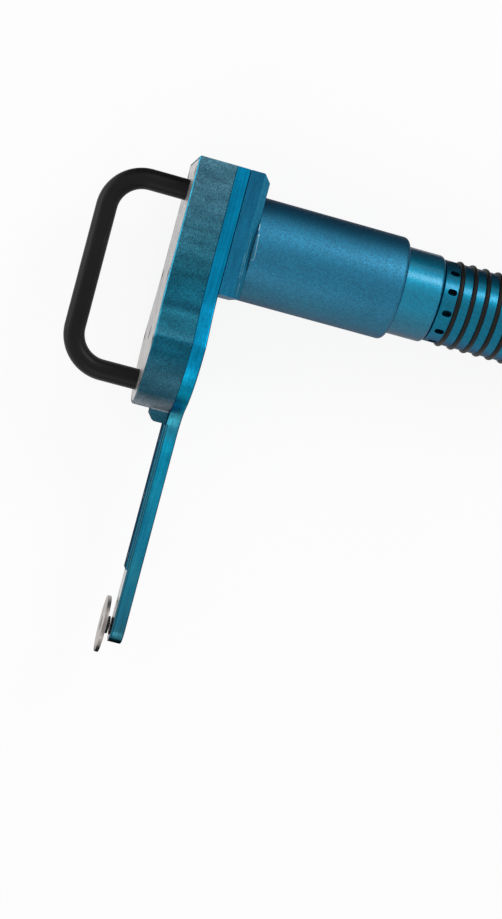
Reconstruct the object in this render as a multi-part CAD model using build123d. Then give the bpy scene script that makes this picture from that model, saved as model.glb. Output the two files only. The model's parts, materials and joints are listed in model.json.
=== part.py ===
from build123d import *
from math import acos, asin, cos, degrees, pi, radians, sin, sqrt, tan
import os

# Hand-held valve grinding machine, lying on its side. Millimetres.
# X is the motor axis and points to the air inlet, the arm points to -Y, and +Z is up.
# The origin is on the motor axis, in the middle of the barrel.

# Head, seen along the motor axis: a straight upper part that flares out to a crease at the widest place
# of the gear lobe, which is round below the crease
HEAD_WIDTH = 50.0
HEAD_TOP = 33.3
LOBE_RADIUS = 34.5
FLARE_ANGLE = 25.0
WAIST_FILLET = 40.0
CASE_THICKNESS = 17.8
CASE_EDGE = 0.6
CASE_FLOOR = 2.5
BOSS_HEIGHT = 8.5
BOSS_REACH = 5.3
BOSS_WIDTH = 14.0
BOSS_CHAMFER = 2.4
PLATE_THICKNESS = 4.0
PLATE_RIM = 1.2
PLUG_RADIUS = 3.2
PLUG_SLOT = 0.9

# Arm plate, from the top of the head to the tip
ARM_THICKNESS = 6.5
ARM_WIDTH = 15.0
ARM_FILLET = 15.0
ARM_EDGE = 0.4
ARM_CENTRES = 139.2
CHANNEL_WIDTH = 10.0
CHANNEL_DEPTH = 4.6
RIB_WIDTH = 4.4
BELT_COVER_THICKNESS = 0.8
ARM_COVER_THICKNESS = 0.8
ARM_COVER_LENGTH = 71.0
ARM_COVER_INSET = 0.4

# Bow handle on the front plate
HANDLE_BAR = 10.0
HANDLE_MID_Y = -27.2
HANDLE_SPAN = 91.7
HANDLE_REACH = 34.5
HANDLE_BEND = 17.0

# Motor flange and barrel
FLANGE_THICKNESS = 10.2
FLANGE_DROP = 25.2
FLANGE_CHAMFER = 3.5
BARREL_RADIUS = 24.9
BARREL_LENGTH = 73.0
BARREL_ROUND = 2.7
BARREL_BORE = 20.5

# Rear housing, throttle sleeve and air inlet
REAR_RADIUS = 21.2
REAR_LENGTH = 18.7
REAR_ROUND = 2.0
STEM_RADIUS = 13.0
STEM_BORE = 8.0
AIR_PASSAGE = 6.0
EXHAUST_PORTS = 6
EXHAUST_PORT_RADIUS = 1.5
SLEEVE_GAP = 0.3
SLEEVE_RADIUS = 19.85
SLEEVE_LENGTH = 72.5
SLEEVE_WALL = 3.0
SLEEVE_CHAMBER = 12.5
SLOT_COUNT = 12
SLOT_LENGTH = 4.6
SLOT_WIDTH = 3.0
SLOT_OFFSET = 4.3
SLOT_TURN = 17.0
RING_COUNT = 10
RING_OFFSET = 8.2
RING_PITCH = 6.45
RING_CORD = 2.4
RING_PROUD = 1.05
SILENCER_LENGTH = 4.2
VALVE_OFFSET = 26.5
VALVE_LENGTH = 21.0
VALVE_WEB = 5.0
VALVE_PORT_RADIUS = 2.2
VALVE_PORT_ORBIT = 4.6
THROTTLE_TWIST = 60.0
THROTTLE_PIN_RADIUS = 1.5
STRAINER_LENGTH = 4.0
STRAINER_HOLES = 6
INLET_RADIUS = 17.5
INLET_LENGTH = 9.0
INLET_HEX = 22.0
INLET_HEX_LENGTH = 8.6
INLET_SOCKET = 5.6
INLET_THREAD_RADIUS = 5.72

# Spur gears in the head: motor pinion, idler and lobe gear in line
HEAD_MODULE = 1.0
PINION_TEETH = 20
IDLER_TEETH = 16
LOBE_TEETH = 48
HEAD_GEAR_FACE = 7.0
HEAD_BACKLASH = 0.16
GEAR_ROOM = 0.7

# Planetary stage between the vane motor and the pinion
PLANET_MODULE = 0.8
SUN_TEETH = 15
PLANET_TEETH = 15
PLANET_COUNT = 3
PLANET_FACE = 10.0
PLANET_BACKLASH = 0.12
PLANET_PIN_RADIUS = 2.0
CARRIER_RADIUS = 16.4
CARRIER_PLATE = 4.0

# Vane motor
ROTOR_RADIUS = 13.5
ROTOR_LENGTH = 30.0
LINER_OFFSET = 1.5
LINER_GAP = 0.4
VANE_COUNT = 5
VANE_THICKNESS = 2.0
VANE_DEPTH = 6.0
VANE_PROUD = 0.15
END_PLATE = 8.0

# Shafts, bearings and bushes
OUTPUT_SHAFT_RADIUS = 6.0
OUTPUT_BEARING_RADIUS = 12.0
OUTPUT_BEARING_WIDTH = 6.0
GEAR_SEAT_RADIUS = 4.0
JOURNAL_RADIUS = 3.0
HEAD_BEARING_RADIUS = 6.5
HEAD_BEARING_WIDTH = 3.0
IDLER_PIN_RADIUS = 2.5
ROTOR_BEARING_RADIUS = 8.5
ROTOR_BEARING_WIDTH = 6.0
TAIL_RADIUS = 1.5
BUSH_RADIUS = 3.0
BUSH_LENGTH = 1.3

# Belt drive in the arm
PULLEY_RADIUS = 3.6
PULLEY_FLANGE = 0.9
PULLEY_FACE = 3.3
PULLEY_BORE = 2.0
BELT_WIDTH = 2.2
BELT_THICKNESS = 0.65

# Spindle nose and self-aligning disc
SPINDLE_RADIUS = 2.5
FRONT_BUSH_RADIUS = 3.6
FRONT_BUSH_FLANGE = 4.25
FRONT_BUSH_PROUD = 0.5
NECK_RADIUS = 0.75
BALL_RADIUS = 1.3
CROSS_PIN_RADIUS = 0.45
CROSS_PIN_LENGTH = 5.2
HUB_RADIUS = 4.25
HUB_GAP = 0.65
HUB_SPIGOT_RADIUS = 3.2
DISC_RADIUS = 13.65
DISC_THICKNESS = 1.8
DISC_GAP = 3.15
PIVOT_BEHIND_DISC = 1.05
TILT_LIMIT = 4.0

# Screws
CORNER_SCREW_RADIUS = 1.5
CORNER_SCREW_INSET = 6.8
CORNER_SCREW_GRIP = 5.0
LOBE_SCREW_INSET = 4.8
BARREL_SCREW_RADIUS = 1.25
BARREL_SCREW_GRIP = 7.0
HANDLE_SCREW_RADIUS = 2.0
HANDLE_SCREW_GRIP = 9.0
COVER_SCREW_RADIUS = 1.0
COVER_SCREW_GRIP = 2.6

# Clearances
FIT = 0.05
RUN = 0.04
AIR = 0.3

# Stations along X, worked out from the sizes above
FLANGE_BACK = -BARREL_LENGTH / 2
FLANGE_FRONT = FLANGE_BACK - FLANGE_THICKNESS
ARM_FRONT = FLANGE_FRONT - ARM_THICKNESS
CASE_FRONT = ARM_FRONT - CASE_THICKNESS
PLATE_BACK = CASE_FRONT + PLATE_THICKNESS
FLOOR_FRONT = ARM_FRONT - CASE_FLOOR
GEAR_MID = (PLATE_BACK + FLOOR_FRONT) / 2
GEAR_FRONT = GEAR_MID - HEAD_GEAR_FACE / 2
GEAR_BACK = GEAR_MID + HEAD_GEAR_FACE / 2
COVER_BACK = ARM_FRONT + BELT_COVER_THICKNESS
CHANNEL_BACK = ARM_FRONT + CHANNEL_DEPTH
BELT_MID = (COVER_BACK + CHANNEL_BACK) / 2
PULLEY_FRONT = BELT_MID - PULLEY_FACE / 2
PULLEY_BACK = BELT_MID + PULLEY_FACE / 2
CARRIER_FRONT = FLANGE_BACK + AIR
CARRIER_BACK = CARRIER_FRONT + CARRIER_PLATE
PLANET_FRONT = CARRIER_BACK + AIR
PLANET_BACK = PLANET_FRONT + PLANET_FACE
RING_BACK = PLANET_BACK + AIR
LINER_FRONT = RING_BACK + END_PLATE
ROTOR_FRONT = LINER_FRONT + AIR
ROTOR_BACK = ROTOR_FRONT + ROTOR_LENGTH
LINER_BACK = ROTOR_BACK + AIR
SPIGOT_FRONT = LINER_BACK + END_PLATE
BARREL_BACK = BARREL_LENGTH / 2
REAR_BACK = BARREL_BACK + REAR_LENGTH
SLEEVE_FRONT = REAR_BACK + SLEEVE_GAP
CHAMBER_BACK = SLEEVE_FRONT + SLEEVE_CHAMBER
SLEEVE_BACK = SLEEVE_FRONT + SLEEVE_LENGTH
WEB_BACK = SLEEVE_FRONT + VALVE_OFFSET
WEB_FRONT = WEB_BACK - VALVE_WEB
VALVE_FRONT = WEB_BACK + 2 * FIT
VALVE_BACK = VALVE_FRONT + VALVE_LENGTH
INLET_FRONT = SLEEVE_BACK + AIR
STEM_BACK = INLET_FRONT + INLET_SOCKET - FIT
INLET_BACK = INLET_FRONT + INLET_LENGTH + INLET_HEX_LENGTH
RING_PLACES = [SLEEVE_FRONT + RING_OFFSET + RING_PITCH * i for i in range(RING_COUNT)]
PIN_RING = max(i for i in range(RING_COUNT) if RING_PLACES[i] < VALVE_BACK - RING_PITCH)
THROTTLE_PIN_X = RING_PLACES[PIN_RING] + RING_PITCH / 2

# Places across X, worked out from the gears and the belt
IDLER_Y = -HEAD_MODULE * (PINION_TEETH + IDLER_TEETH) / 2
LOBE_Y = IDLER_Y - HEAD_MODULE * (IDLER_TEETH + LOBE_TEETH) / 2
SPINDLE_Y = LOBE_Y - ARM_CENTRES
BOSS_END = LOBE_Y - LOBE_RADIUS - BOSS_REACH
ARM_COVER_END = BOSS_END - 2 * FIT - ARM_COVER_LENGTH
HANDLE_UPPER_Y = HANDLE_MID_Y + HANDLE_SPAN / 2
HANDLE_LOWER_Y = HANDLE_MID_Y - HANDLE_SPAN / 2
PLANET_ORBIT = PLANET_MODULE * (SUN_TEETH + PLANET_TEETH) / 2
RING_TEETH = SUN_TEETH + 2 * PLANET_TEETH
LINER_BORE = ROTOR_RADIUS + LINER_OFFSET + LINER_GAP
CHAMBER_RADIUS = SLEEVE_RADIUS - SLEEVE_WALL
BELT_INNER = PULLEY_RADIUS + RUN
BELT_OUTER = BELT_INNER + BELT_THICKNESS
DISC_BACK = ARM_FRONT - DISC_GAP
DISC_FACE = DISC_BACK - DISC_THICKNESS
HUB_BACK = ARM_FRONT - FRONT_BUSH_PROUD - HUB_GAP
PIVOT_X = DISC_BACK + PIVOT_BEHIND_DISC


def around(radius, angle, y=0.0):
    """Place (y, z) on a circle about an axis at y, by its angle in degrees."""
    return y + radius * cos(radians(angle)), radius * sin(radians(angle))


# Where the screws stand, as (y, z)
corner_y = (HEAD_TOP - CORNER_SCREW_INSET, -FLANGE_DROP + CORNER_SCREW_INSET / 2)
corner_z = HEAD_WIDTH / 2 - CORNER_SCREW_INSET
corner_places = [(y, side * corner_z) for y in corner_y for side in (1, -1)]
lobe_places = [around(LOBE_RADIUS - LOBE_SCREW_INSET, angle, LOBE_Y) for angle in (95, 145, -95, -145)]
plate_places = corner_places + lobe_places
barrel_places = [around((BARREL_RADIUS + BARREL_BORE) / 2, angle) for angle in (35, 145, -35, -145)]
handle_places = [(HANDLE_UPPER_Y, 0.0), (HANDLE_LOWER_Y, 0.0)]
arm_cover_front = ARM_FRONT - ARM_COVER_THICKNESS
cover_screw_heads = [(arm_cover_front, BOSS_END - ARM_COVER_LENGTH * share) for share in (0.1, 0.5, 0.92)]
cover_screw_heads.append((ARM_FRONT, SPINDLE_Y + ARM_WIDTH * 0.8))
CORNER_HEAD = CORNER_SCREW_RADIUS * 1.8
CORNER_SEAT = FLANGE_BACK - CORNER_SCREW_RADIUS * 2
BARREL_HEAD = BARREL_SCREW_RADIUS * 1.7
BARREL_SEAT = FLANGE_FRONT + BARREL_SCREW_RADIUS * 2


def prism(sketch, x0, x1):
    """Solid of a sketch drawn in Y and Z, from x0 to x1."""
    return extrude(Plane.YZ.offset(x0) * sketch, amount=x1 - x0)


def rod(radius, x0, x1, y=0.0, z=0.0):
    """Round bar along X."""
    return prism(Pos(y, z) * Circle(radius), x0, x1)


def block(x0, x1, y0, y1, z0, z1):
    """Box between two corners."""
    return Pos((x0 + x1) / 2, (y0 + y1) / 2, (z0 + z1) / 2) * Box(x1 - x0, y1 - y0, z1 - z0)


def turned(points, y=0.0, z=0.0):
    """Solid turned about an axis along X, from (x, radius) points."""
    return Pos(0, y, z) * revolve(make_face(Polyline(*points, close=True)), Axis.X)


def tube(outer, inner, x0, x1, y=0.0, z=0.0):
    """Plain ring along X."""
    return turned([(x0, inner), (x1, inner), (x1, outer), (x0, outer)], y, z)


def ball_bearing(outer, inner, x0, x1, y=0.0):
    """Bearing with a shallow shield recess on both faces."""
    lip = (outer - inner) * 0.24
    dip = (x1 - x0) * 0.08
    return turned(
        [(x0, inner), (x1, inner), (x1, inner + lip), (x1 - dip, inner + lip), (x1 - dip, outer - lip),
         (x1, outer - lip), (x1, outer), (x0, outer), (x0, outer - lip), (x0 + dip, outer - lip),
         (x0 + dip, inner + lip), (x0, inner + lip)], y)


def countersunk(radius, x_head, length, way, y, z, extra=0.0):
    """Countersunk screw whose shank runs the way given, +1 or -1; extra widens it into its hole."""
    head = 1.9 * radius
    neck = x_head + way * (head - radius)
    end = x_head + way * (length + extra)
    wide = radius + extra
    return turned([(x_head, 0), (x_head, head + extra), (neck, wide), (end, wide), (end, 0)], y, z)


def socket(radius, x_head, depth, way, y, z):
    """Hexagon socket sunk into a screw head."""
    low, high = sorted((x_head, x_head + way * depth))
    return prism(Pos(y, z) * RegularPolygon(radius, 6), low, high)


def cap_screw(radius, head, x_seat, height, length, way, y, z):
    """Cap screw with its head behind x_seat and its shank running the way given, +1 or -1."""
    top = x_seat - way * height
    end = x_seat + way * length
    body = turned([(top, 0), (top, head), (x_seat, head), (x_seat, radius), (end, radius), (end, 0)], y, z)
    return body - socket(radius * 0.85, top, height * 0.5, way, y, z)


def arc(centre, radius, start, end):
    """Arc about a centre between two angles in degrees."""
    turns = (start, (start + end) / 2, end)
    return ThreePointArc(
        *[(centre[0] + radius * cos(radians(a)), centre[1] + radius * sin(radians(a))) for a in turns])


def head_outline(inset=0.0, arm=False):
    """Outline of the head, drawn in by an inset, with or without the arm below the lobe."""
    flare = radians(FLARE_ANGLE)
    half = HEAD_WIDTH / 2 - inset
    top = HEAD_TOP - inset
    lobe = LOBE_RADIUS - inset
    waist = WAIST_FILLET + inset
    waist_z = half + waist
    flat = LOBE_RADIUS * cos(flare) - inset
    waist_y = LOBE_Y + (flat + waist - waist_z * cos(flare)) / sin(flare)
    crease = 90 - FLARE_ANGLE + degrees(acos(flat / lobe))
    bend = arc((waist_y, waist_z), waist, -90, -90 - FLARE_ANGLE)
    side = [Line((top, half), (waist_y, half)), bend, Line(bend @ 1, around(lobe, crease, LOBE_Y))]
    if arm:
        wide = ARM_WIDTH / 2 - inset
        foot = ARM_FILLET + inset
        foot_y = LOBE_Y - sqrt((lobe + foot) ** 2 - (wide + foot) ** 2)
        contact = degrees(acos((foot_y - LOBE_Y) / (lobe + foot)))
        side += [arc((LOBE_Y, 0), lobe, crease, contact),
                 arc((foot_y, wide + foot), foot, contact - 180, -90),
                 Line((foot_y, wide), (SPINDLE_Y, wide))]
        end = arc((SPINDLE_Y, 0), wide, 90, 270)
    else:
        end = arc((LOBE_Y, 0), lobe, crease, 360 - crease)
    other = [mirror(edge, about=Plane.XZ) for edge in side]
    return make_face([Line((top, -half), (top, half)), end] + side + other)


def involute(angle):
    """Involute function of a pressure angle."""
    return tan(angle) - angle


def gear_sketch(teeth, module, thinning, tip=1.0, root=1.25, turn=0.0, steps=3):
    """Spur gear outline with a tooth centred on its first axis, turned in degrees.

    A positive thinning narrows each tooth at the pitch circle; a negative one widens it.
    """
    pitch = module * teeth / 2
    pressure = radians(20)
    base = pitch * cos(pressure)
    root_radius = pitch - root * module
    start = max(base, root_radius)
    half_pitch = pi / (2 * teeth) - thinning / (2 * pitch)
    flank = []
    for i in range(steps + 1):
        radius = start + (pitch + tip * module - start) * i / steps
        flank.append((radius, half_pitch + involute(pressure) - involute(acos(min(1.0, base / radius)))))
    if root_radius < start:
        flank.insert(0, (root_radius, flank[0][1]))
    points = []
    for tooth in range(teeth):
        middle = 2 * pi * tooth / teeth + radians(turn)
        points += [(r * cos(middle - half), r * sin(middle - half)) for r, half in flank]
        points += [(r * cos(middle + half), r * sin(middle + half)) for r, half in reversed(flank)]
    return make_face(Polyline(*points, close=True))


def head_gear(teeth, bore, y, turn=0.0):
    """Spur gear of the head on an axis at y."""
    sketch = gear_sketch(teeth, HEAD_MODULE, HEAD_BACKLASH / 2, turn=turn)
    return prism(Pos(y, 0) * (sketch - Circle(bore)), GEAR_FRONT, GEAR_BACK)


def grip_ring(x, extra=0.0):
    """Round rubber ring about the motor axis, with extra added to its cord radius."""
    section = Pos(x, SLEEVE_RADIUS + RING_PROUD - RING_CORD / 2) * Circle(RING_CORD / 2 + extra)
    return revolve(section, Axis.X)


def flanged_pulley(y):
    """Flat pulley with a flange at both ends."""
    lip = (PULLEY_FACE - BELT_WIDTH) / 2 - 2 * RUN
    wide = PULLEY_RADIUS + PULLEY_FLANGE
    return turned([
        (PULLEY_FRONT, PULLEY_BORE + FIT), (PULLEY_FRONT, wide), (PULLEY_FRONT + lip, wide),
        (PULLEY_FRONT + lip, PULLEY_RADIUS), (PULLEY_BACK - lip, PULLEY_RADIUS), (PULLEY_BACK - lip, wide),
        (PULLEY_BACK, wide), (PULLEY_BACK, PULLEY_BORE + FIT)], y)


def arm_zone(front, back, top):
    """Box around the arm below a height, for cutting its front."""
    wide = HEAD_WIDTH
    return block(front, back, SPINDLE_Y - ARM_WIDTH, top, -wide, wide)


def belt_loop(radius):
    """Outline of a loop around both pulleys."""
    run = Pos((LOBE_Y + SPINDLE_Y) / 2, 0) * Rectangle(ARM_CENTRES, 2 * radius)
    return run + Pos(LOBE_Y, 0) * Circle(radius) + Pos(SPINDLE_Y, 0) * Circle(radius)


def build_gear_case():
    """Gear case: plate recess and gear pocket open to the front, and the belt-exit boss below."""
    case = prism(head_outline(), CASE_FRONT, ARM_FRONT)
    case = chamfer(case.faces().sort_by(Axis.X)[0].outer_wire().edges(), CASE_EDGE)
    front = ARM_FRONT - BOSS_HEIGHT
    boss = make_face(Polyline(
        (ARM_FRONT, LOBE_Y), (ARM_FRONT, BOSS_END), (front + BOSS_CHAMFER, BOSS_END),
        (front, BOSS_END + BOSS_CHAMFER * 1.25), (front, LOBE_Y), close=True))
    case += extrude(boss, amount=BOSS_WIDTH / 2, both=True)
    case -= prism(head_outline(PLATE_RIM), CASE_FRONT, PLATE_BACK)
    for teeth, y in ((PINION_TEETH, 0.0), (IDLER_TEETH, IDLER_Y), (LOBE_TEETH, LOBE_Y)):
        case -= rod(HEAD_MODULE * (teeth / 2 + 1) + GEAR_ROOM, PLATE_BACK, FLOOR_FRONT, y)
    for radius, y in ((OUTPUT_SHAFT_RADIUS + AIR, 0.0), (IDLER_PIN_RADIUS + FIT, IDLER_Y),
                      (GEAR_SEAT_RADIUS + AIR, LOBE_Y)):
        case -= rod(radius, FLOOR_FRONT, ARM_FRONT, y)
    for y, z in plate_places:
        case -= rod(CORNER_SCREW_RADIUS + FIT, PLATE_BACK, PLATE_BACK + CORNER_SCREW_GRIP + FIT, y, z)
    for y, z in corner_places:
        case -= rod(CORNER_SCREW_RADIUS + FIT, ARM_FRONT - CORNER_SCREW_GRIP - FIT, ARM_FRONT, y, z)
    return case


def build_front_plate():
    """Front plate let into the case, with the front bearing seats in its back."""
    plate = prism(head_outline(PLATE_RIM + 2 * FIT), CASE_FRONT, PLATE_BACK)
    for y in (0.0, LOBE_Y):
        plate -= rod(HEAD_BEARING_RADIUS + FIT, PLATE_BACK - HEAD_BEARING_WIDTH, PLATE_BACK, y)
    plate -= rod(IDLER_PIN_RADIUS + FIT, PLATE_BACK - PLATE_THICKNESS / 2, PLATE_BACK, IDLER_Y)
    plate -= rod(PLUG_RADIUS + FIT, CASE_FRONT, PLATE_BACK, LOBE_Y)
    for y, z in plate_places:
        plate -= countersunk(CORNER_SCREW_RADIUS, CASE_FRONT, PLATE_THICKNESS, 1, y, z, FIT)
    for y, z in handle_places:
        plate -= countersunk(HANDLE_SCREW_RADIUS, PLATE_BACK, PLATE_THICKNESS, -1, y, z, FIT)
    return plate


def build_bearing_plug():
    """Slotted plug in the front plate, against the end of the lobe bearing."""
    back = PLATE_BACK - HEAD_BEARING_WIDTH
    slot = block(CASE_FRONT, (CASE_FRONT + back) / 2, LOBE_Y - PLUG_RADIUS, LOBE_Y + PLUG_RADIUS,
                 -PLUG_SLOT / 2, PLUG_SLOT / 2)
    return rod(PLUG_RADIUS, CASE_FRONT, back, LOBE_Y) - slot


def build_plate_screws():
    """Countersunk screws of the front plate."""
    length = PLATE_THICKNESS + CORNER_SCREW_GRIP
    return [countersunk(CORNER_SCREW_RADIUS, CASE_FRONT, length, 1, y, z)
            - socket(CORNER_SCREW_RADIUS * 0.8, CASE_FRONT, CORNER_SCREW_RADIUS * 0.8, 1, y, z)
            for y, z in plate_places]


def build_handle_screws():
    """Countersunk screws from behind the front plate into the ends of the handle."""
    length = PLATE_THICKNESS + HANDLE_SCREW_GRIP
    return [countersunk(HANDLE_SCREW_RADIUS, PLATE_BACK, length, -1, y, z)
            - socket(HANDLE_SCREW_RADIUS * 0.8, PLATE_BACK, HANDLE_SCREW_RADIUS * 0.8, -1, y, z)
            for y, z in handle_places]


def build_bow_handle():
    """Round bar bent into a bow, with a tapped hole in each end."""
    outer = CASE_FRONT - HANDLE_REACH
    path = FilletPolyline(
        (CASE_FRONT, HANDLE_UPPER_Y, 0), (outer, HANDLE_UPPER_Y, 0), (outer, HANDLE_LOWER_Y, 0),
        (CASE_FRONT, HANDLE_LOWER_Y, 0), radius=HANDLE_BEND)
    start = Plane(origin=(CASE_FRONT, HANDLE_UPPER_Y, 0), z_dir=(-1, 0, 0))
    bow = sweep(start * Circle(HANDLE_BAR / 2), path=path)
    for y, z in handle_places:
        bow -= rod(HANDLE_SCREW_RADIUS + FIT, CASE_FRONT - HANDLE_SCREW_GRIP - FIT, CASE_FRONT, y, z)
    return bow


def build_arm_frame():
    """Arm plate: the head's outline carried down to a round tip, with the belt channel in its front."""
    arm = prism(head_outline(arm=True), ARM_FRONT, FLANGE_FRONT)
    arm = chamfer(arm.faces().sort_by(Axis.X)[-1].outer_wire().edges(), ARM_EDGE)
    channel = prism(belt_loop(CHANNEL_WIDTH / 2), ARM_FRONT, CHANNEL_BACK)
    shaft_room = PULLEY_RADIUS + PULLEY_FLANGE + RIB_WIDTH
    channel -= block(COVER_BACK, CHANNEL_BACK, SPINDLE_Y + shaft_room, LOBE_Y - shaft_room,
                     -RIB_WIDTH / 2, RIB_WIDTH / 2)
    arm -= channel
    arm -= arm_zone(ARM_FRONT, COVER_BACK, BOSS_END)
    for x, y in cover_screw_heads:
        arm -= countersunk(COVER_SCREW_RADIUS, x, COVER_BACK + COVER_SCREW_GRIP - x, 1, y, 0, FIT)
    arm -= rod(OUTPUT_SHAFT_RADIUS + AIR, ARM_FRONT, FLANGE_FRONT)
    arm -= rod(IDLER_PIN_RADIUS + FIT, ARM_FRONT, ARM_FRONT + ARM_THICKNESS / 2, IDLER_Y)
    for y in (LOBE_Y, SPINDLE_Y):
        arm -= rod(BUSH_RADIUS + FIT, CHANNEL_BACK, CHANNEL_BACK + BUSH_LENGTH, y)
    for y, z in corner_places:
        arm -= rod(CORNER_SCREW_RADIUS + FIT, ARM_FRONT, FLANGE_FRONT, y, z)
    return arm


def build_belt_cover():
    """Sheet that closes the belt channel, flush with the arm's sides."""
    sheet = prism(head_outline(arm=True), ARM_FRONT, COVER_BACK)
    sheet &= arm_zone(ARM_FRONT, COVER_BACK, BOSS_END - FIT)
    sheet -= rod(FRONT_BUSH_RADIUS + FIT, ARM_FRONT, COVER_BACK, SPINDLE_Y)
    for x, y in cover_screw_heads:
        sheet -= countersunk(COVER_SCREW_RADIUS, x, COVER_BACK + 1 - x, 1, y, 0, FIT)
    return sheet


def build_arm_cover():
    """Thin sheet on the upper arm, over the belt cover."""
    half = ARM_WIDTH / 2 - ARM_COVER_INSET
    sheet = block(arm_cover_front, ARM_FRONT, ARM_COVER_END, BOSS_END - 2 * FIT, -half, half)
    for x, y in cover_screw_heads[:-1]:
        sheet -= countersunk(COVER_SCREW_RADIUS, x, ARM_FRONT + 1 - x, 1, y, 0, FIT)
    return sheet


def build_cover_screws():
    """Small countersunk screws along the arm's centre line."""
    return [countersunk(COVER_SCREW_RADIUS, x, COVER_BACK + COVER_SCREW_GRIP - x, 1, y, 0)
            - socket(COVER_SCREW_RADIUS * 0.8, x, COVER_SCREW_RADIUS * 0.7, 1, y, 0)
            for x, y in cover_screw_heads]


def build_motor_flange():
    """Motor flange: a block with three rear edges chamfered, under the overhanging end of the barrel."""
    half = HEAD_WIDTH / 2
    flange = block(FLANGE_FRONT, FLANGE_BACK, -FLANGE_DROP, HEAD_TOP, -half, half)
    edges = flange.faces().sort_by(Axis.X)[-1].edges().sort_by(Axis.Y)[1:]
    flange = chamfer(edges, FLANGE_CHAMFER)
    flange -= rod(OUTPUT_SHAFT_RADIUS + AIR, FLANGE_FRONT, FLANGE_BACK)
    flange -= rod(OUTPUT_BEARING_RADIUS + FIT, FLANGE_BACK - OUTPUT_BEARING_WIDTH, FLANGE_BACK)
    for y, z in corner_places:
        flange -= rod(CORNER_SCREW_RADIUS + FIT, FLANGE_FRONT, FLANGE_BACK, y, z)
        flange -= rod(CORNER_HEAD + FIT, CORNER_SEAT, FLANGE_BACK, y, z)
    for y, z in barrel_places:
        flange -= rod(BARREL_SCREW_RADIUS + FIT, FLANGE_FRONT, FLANGE_BACK, y, z)
        flange -= rod(BARREL_HEAD + FIT, FLANGE_FRONT, BARREL_SEAT, y, z)
    return flange


def build_flange_screws():
    """Cap screws through the flange and the arm plate into the case."""
    height = FLANGE_BACK - CORNER_SEAT - 2 * FIT
    length = CORNER_SEAT - ARM_FRONT + CORNER_SCREW_GRIP
    return [cap_screw(CORNER_SCREW_RADIUS, CORNER_HEAD, CORNER_SEAT, height, length, -1, y, z)
            for y, z in corner_places]


def build_barrel_screws():
    """Cap screws from the front of the flange into the barrel's wall."""
    height = BARREL_SEAT - FLANGE_FRONT - 2 * FIT
    length = FLANGE_BACK - BARREL_SEAT + BARREL_SCREW_GRIP
    return [cap_screw(BARREL_SCREW_RADIUS, BARREL_HEAD, BARREL_SEAT, height, length, 1, y, z)
            for y, z in barrel_places]


def build_motor_barrel():
    """Motor barrel: a plain tube with a rounded rear edge."""
    barrel = rod(BARREL_RADIUS, FLANGE_BACK, BARREL_BACK)
    barrel = fillet(barrel.faces().sort_by(Axis.X)[-1].edges(), BARREL_ROUND)
    barrel -= rod(BARREL_BORE, FLANGE_BACK, BARREL_BACK)
    for y, z in barrel_places:
        barrel -= rod(BARREL_SCREW_RADIUS + FIT, FLANGE_BACK, FLANGE_BACK + BARREL_SCREW_GRIP + FIT, y, z)
    return barrel


def build_rear_housing():
    """Rear housing: spigot, body with exhaust ports, and the stem with valve seat and pin slot."""
    housing = turned([
        (SPIGOT_FRONT, 0), (SPIGOT_FRONT, BARREL_BORE - FIT), (BARREL_BACK, BARREL_BORE - FIT),
        (BARREL_BACK, REAR_RADIUS), (REAR_BACK, REAR_RADIUS), (REAR_BACK, STEM_RADIUS),
        (STEM_BACK, STEM_RADIUS), (STEM_BACK, 0)])
    rims = housing.edges().filter_by(GeomType.CIRCLE).group_by(SortBy.RADIUS)[-1]
    housing = fillet(rims.sort_by(Axis.X)[-1], REAR_ROUND)
    housing -= rod(AIR_PASSAGE, SPIGOT_FRONT, WEB_FRONT)
    housing -= rod(VALVE_PORT_RADIUS, WEB_FRONT, WEB_BACK, VALVE_PORT_ORBIT)
    housing -= rod(STEM_BORE, WEB_BACK, STEM_BACK)
    for i in range(EXHAUST_PORTS):
        place = around((STEM_RADIUS + CHAMBER_RADIUS) / 2, 360 * i / EXHAUST_PORTS)
        housing -= rod(EXHAUST_PORT_RADIUS, SPIGOT_FRONT, REAR_BACK, *place)
    wide = THROTTLE_PIN_RADIUS + 3 * FIT
    ends = THROTTLE_PIN_X - wide, THROTTLE_PIN_X + wide
    section = make_face(Polyline(
        (ends[0], 0, -STEM_BORE + 1), (ends[1], 0, -STEM_BORE + 1), (ends[1], 0, -STEM_RADIUS - 1),
        (ends[0], 0, -STEM_RADIUS - 1), close=True))
    extra = degrees(asin(wide / STEM_BORE))
    slot = revolve(Rot(-extra, 0, 0) * section, Axis.X, revolution_arc=THROTTLE_TWIST + 2 * extra)
    return housing - slot


def throttle_pin_rod(radius, inner, outer):
    """Radial bar of the throttle pin, pointing down."""
    return extrude(Plane.XY.offset(-outer) * Pos(THROTTLE_PIN_X, 0) * Circle(radius), amount=outer - inner)


def build_throttle_sleeve():
    """Throttle sleeve: exhaust slots over a hollow front, ring grooves behind, turning on the stem."""
    sleeve = turned([
        (SLEEVE_FRONT, CHAMBER_RADIUS), (CHAMBER_BACK, CHAMBER_RADIUS), (CHAMBER_BACK, STEM_RADIUS + RUN),
        (SLEEVE_BACK, STEM_RADIUS + RUN), (SLEEVE_BACK, SLEEVE_RADIUS - 2 * AIR),
        (SLEEVE_BACK - 2 * AIR, SLEEVE_RADIUS), (SLEEVE_FRONT + AIR, SLEEVE_RADIUS),
        (SLEEVE_FRONT, SLEEVE_RADIUS - AIR)])
    face = Pos(SLEEVE_FRONT + SLOT_OFFSET, 0) * SlotOverall(SLOT_LENGTH, SLOT_WIDTH)
    cutter = extrude(Plane.XY.offset(CHAMBER_RADIUS - 1) * face, amount=SLEEVE_WALL + 2)
    for i in range(SLOT_COUNT):
        sleeve -= Rot(SLOT_TURN + 360 * i / SLOT_COUNT, 0, 0) * cutter
    for x in RING_PLACES:
        sleeve -= grip_ring(x, 0.02)
    return sleeve - throttle_pin_rod(THROTTLE_PIN_RADIUS + FIT, STEM_RADIUS - 1, SLEEVE_RADIUS + 1)


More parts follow.
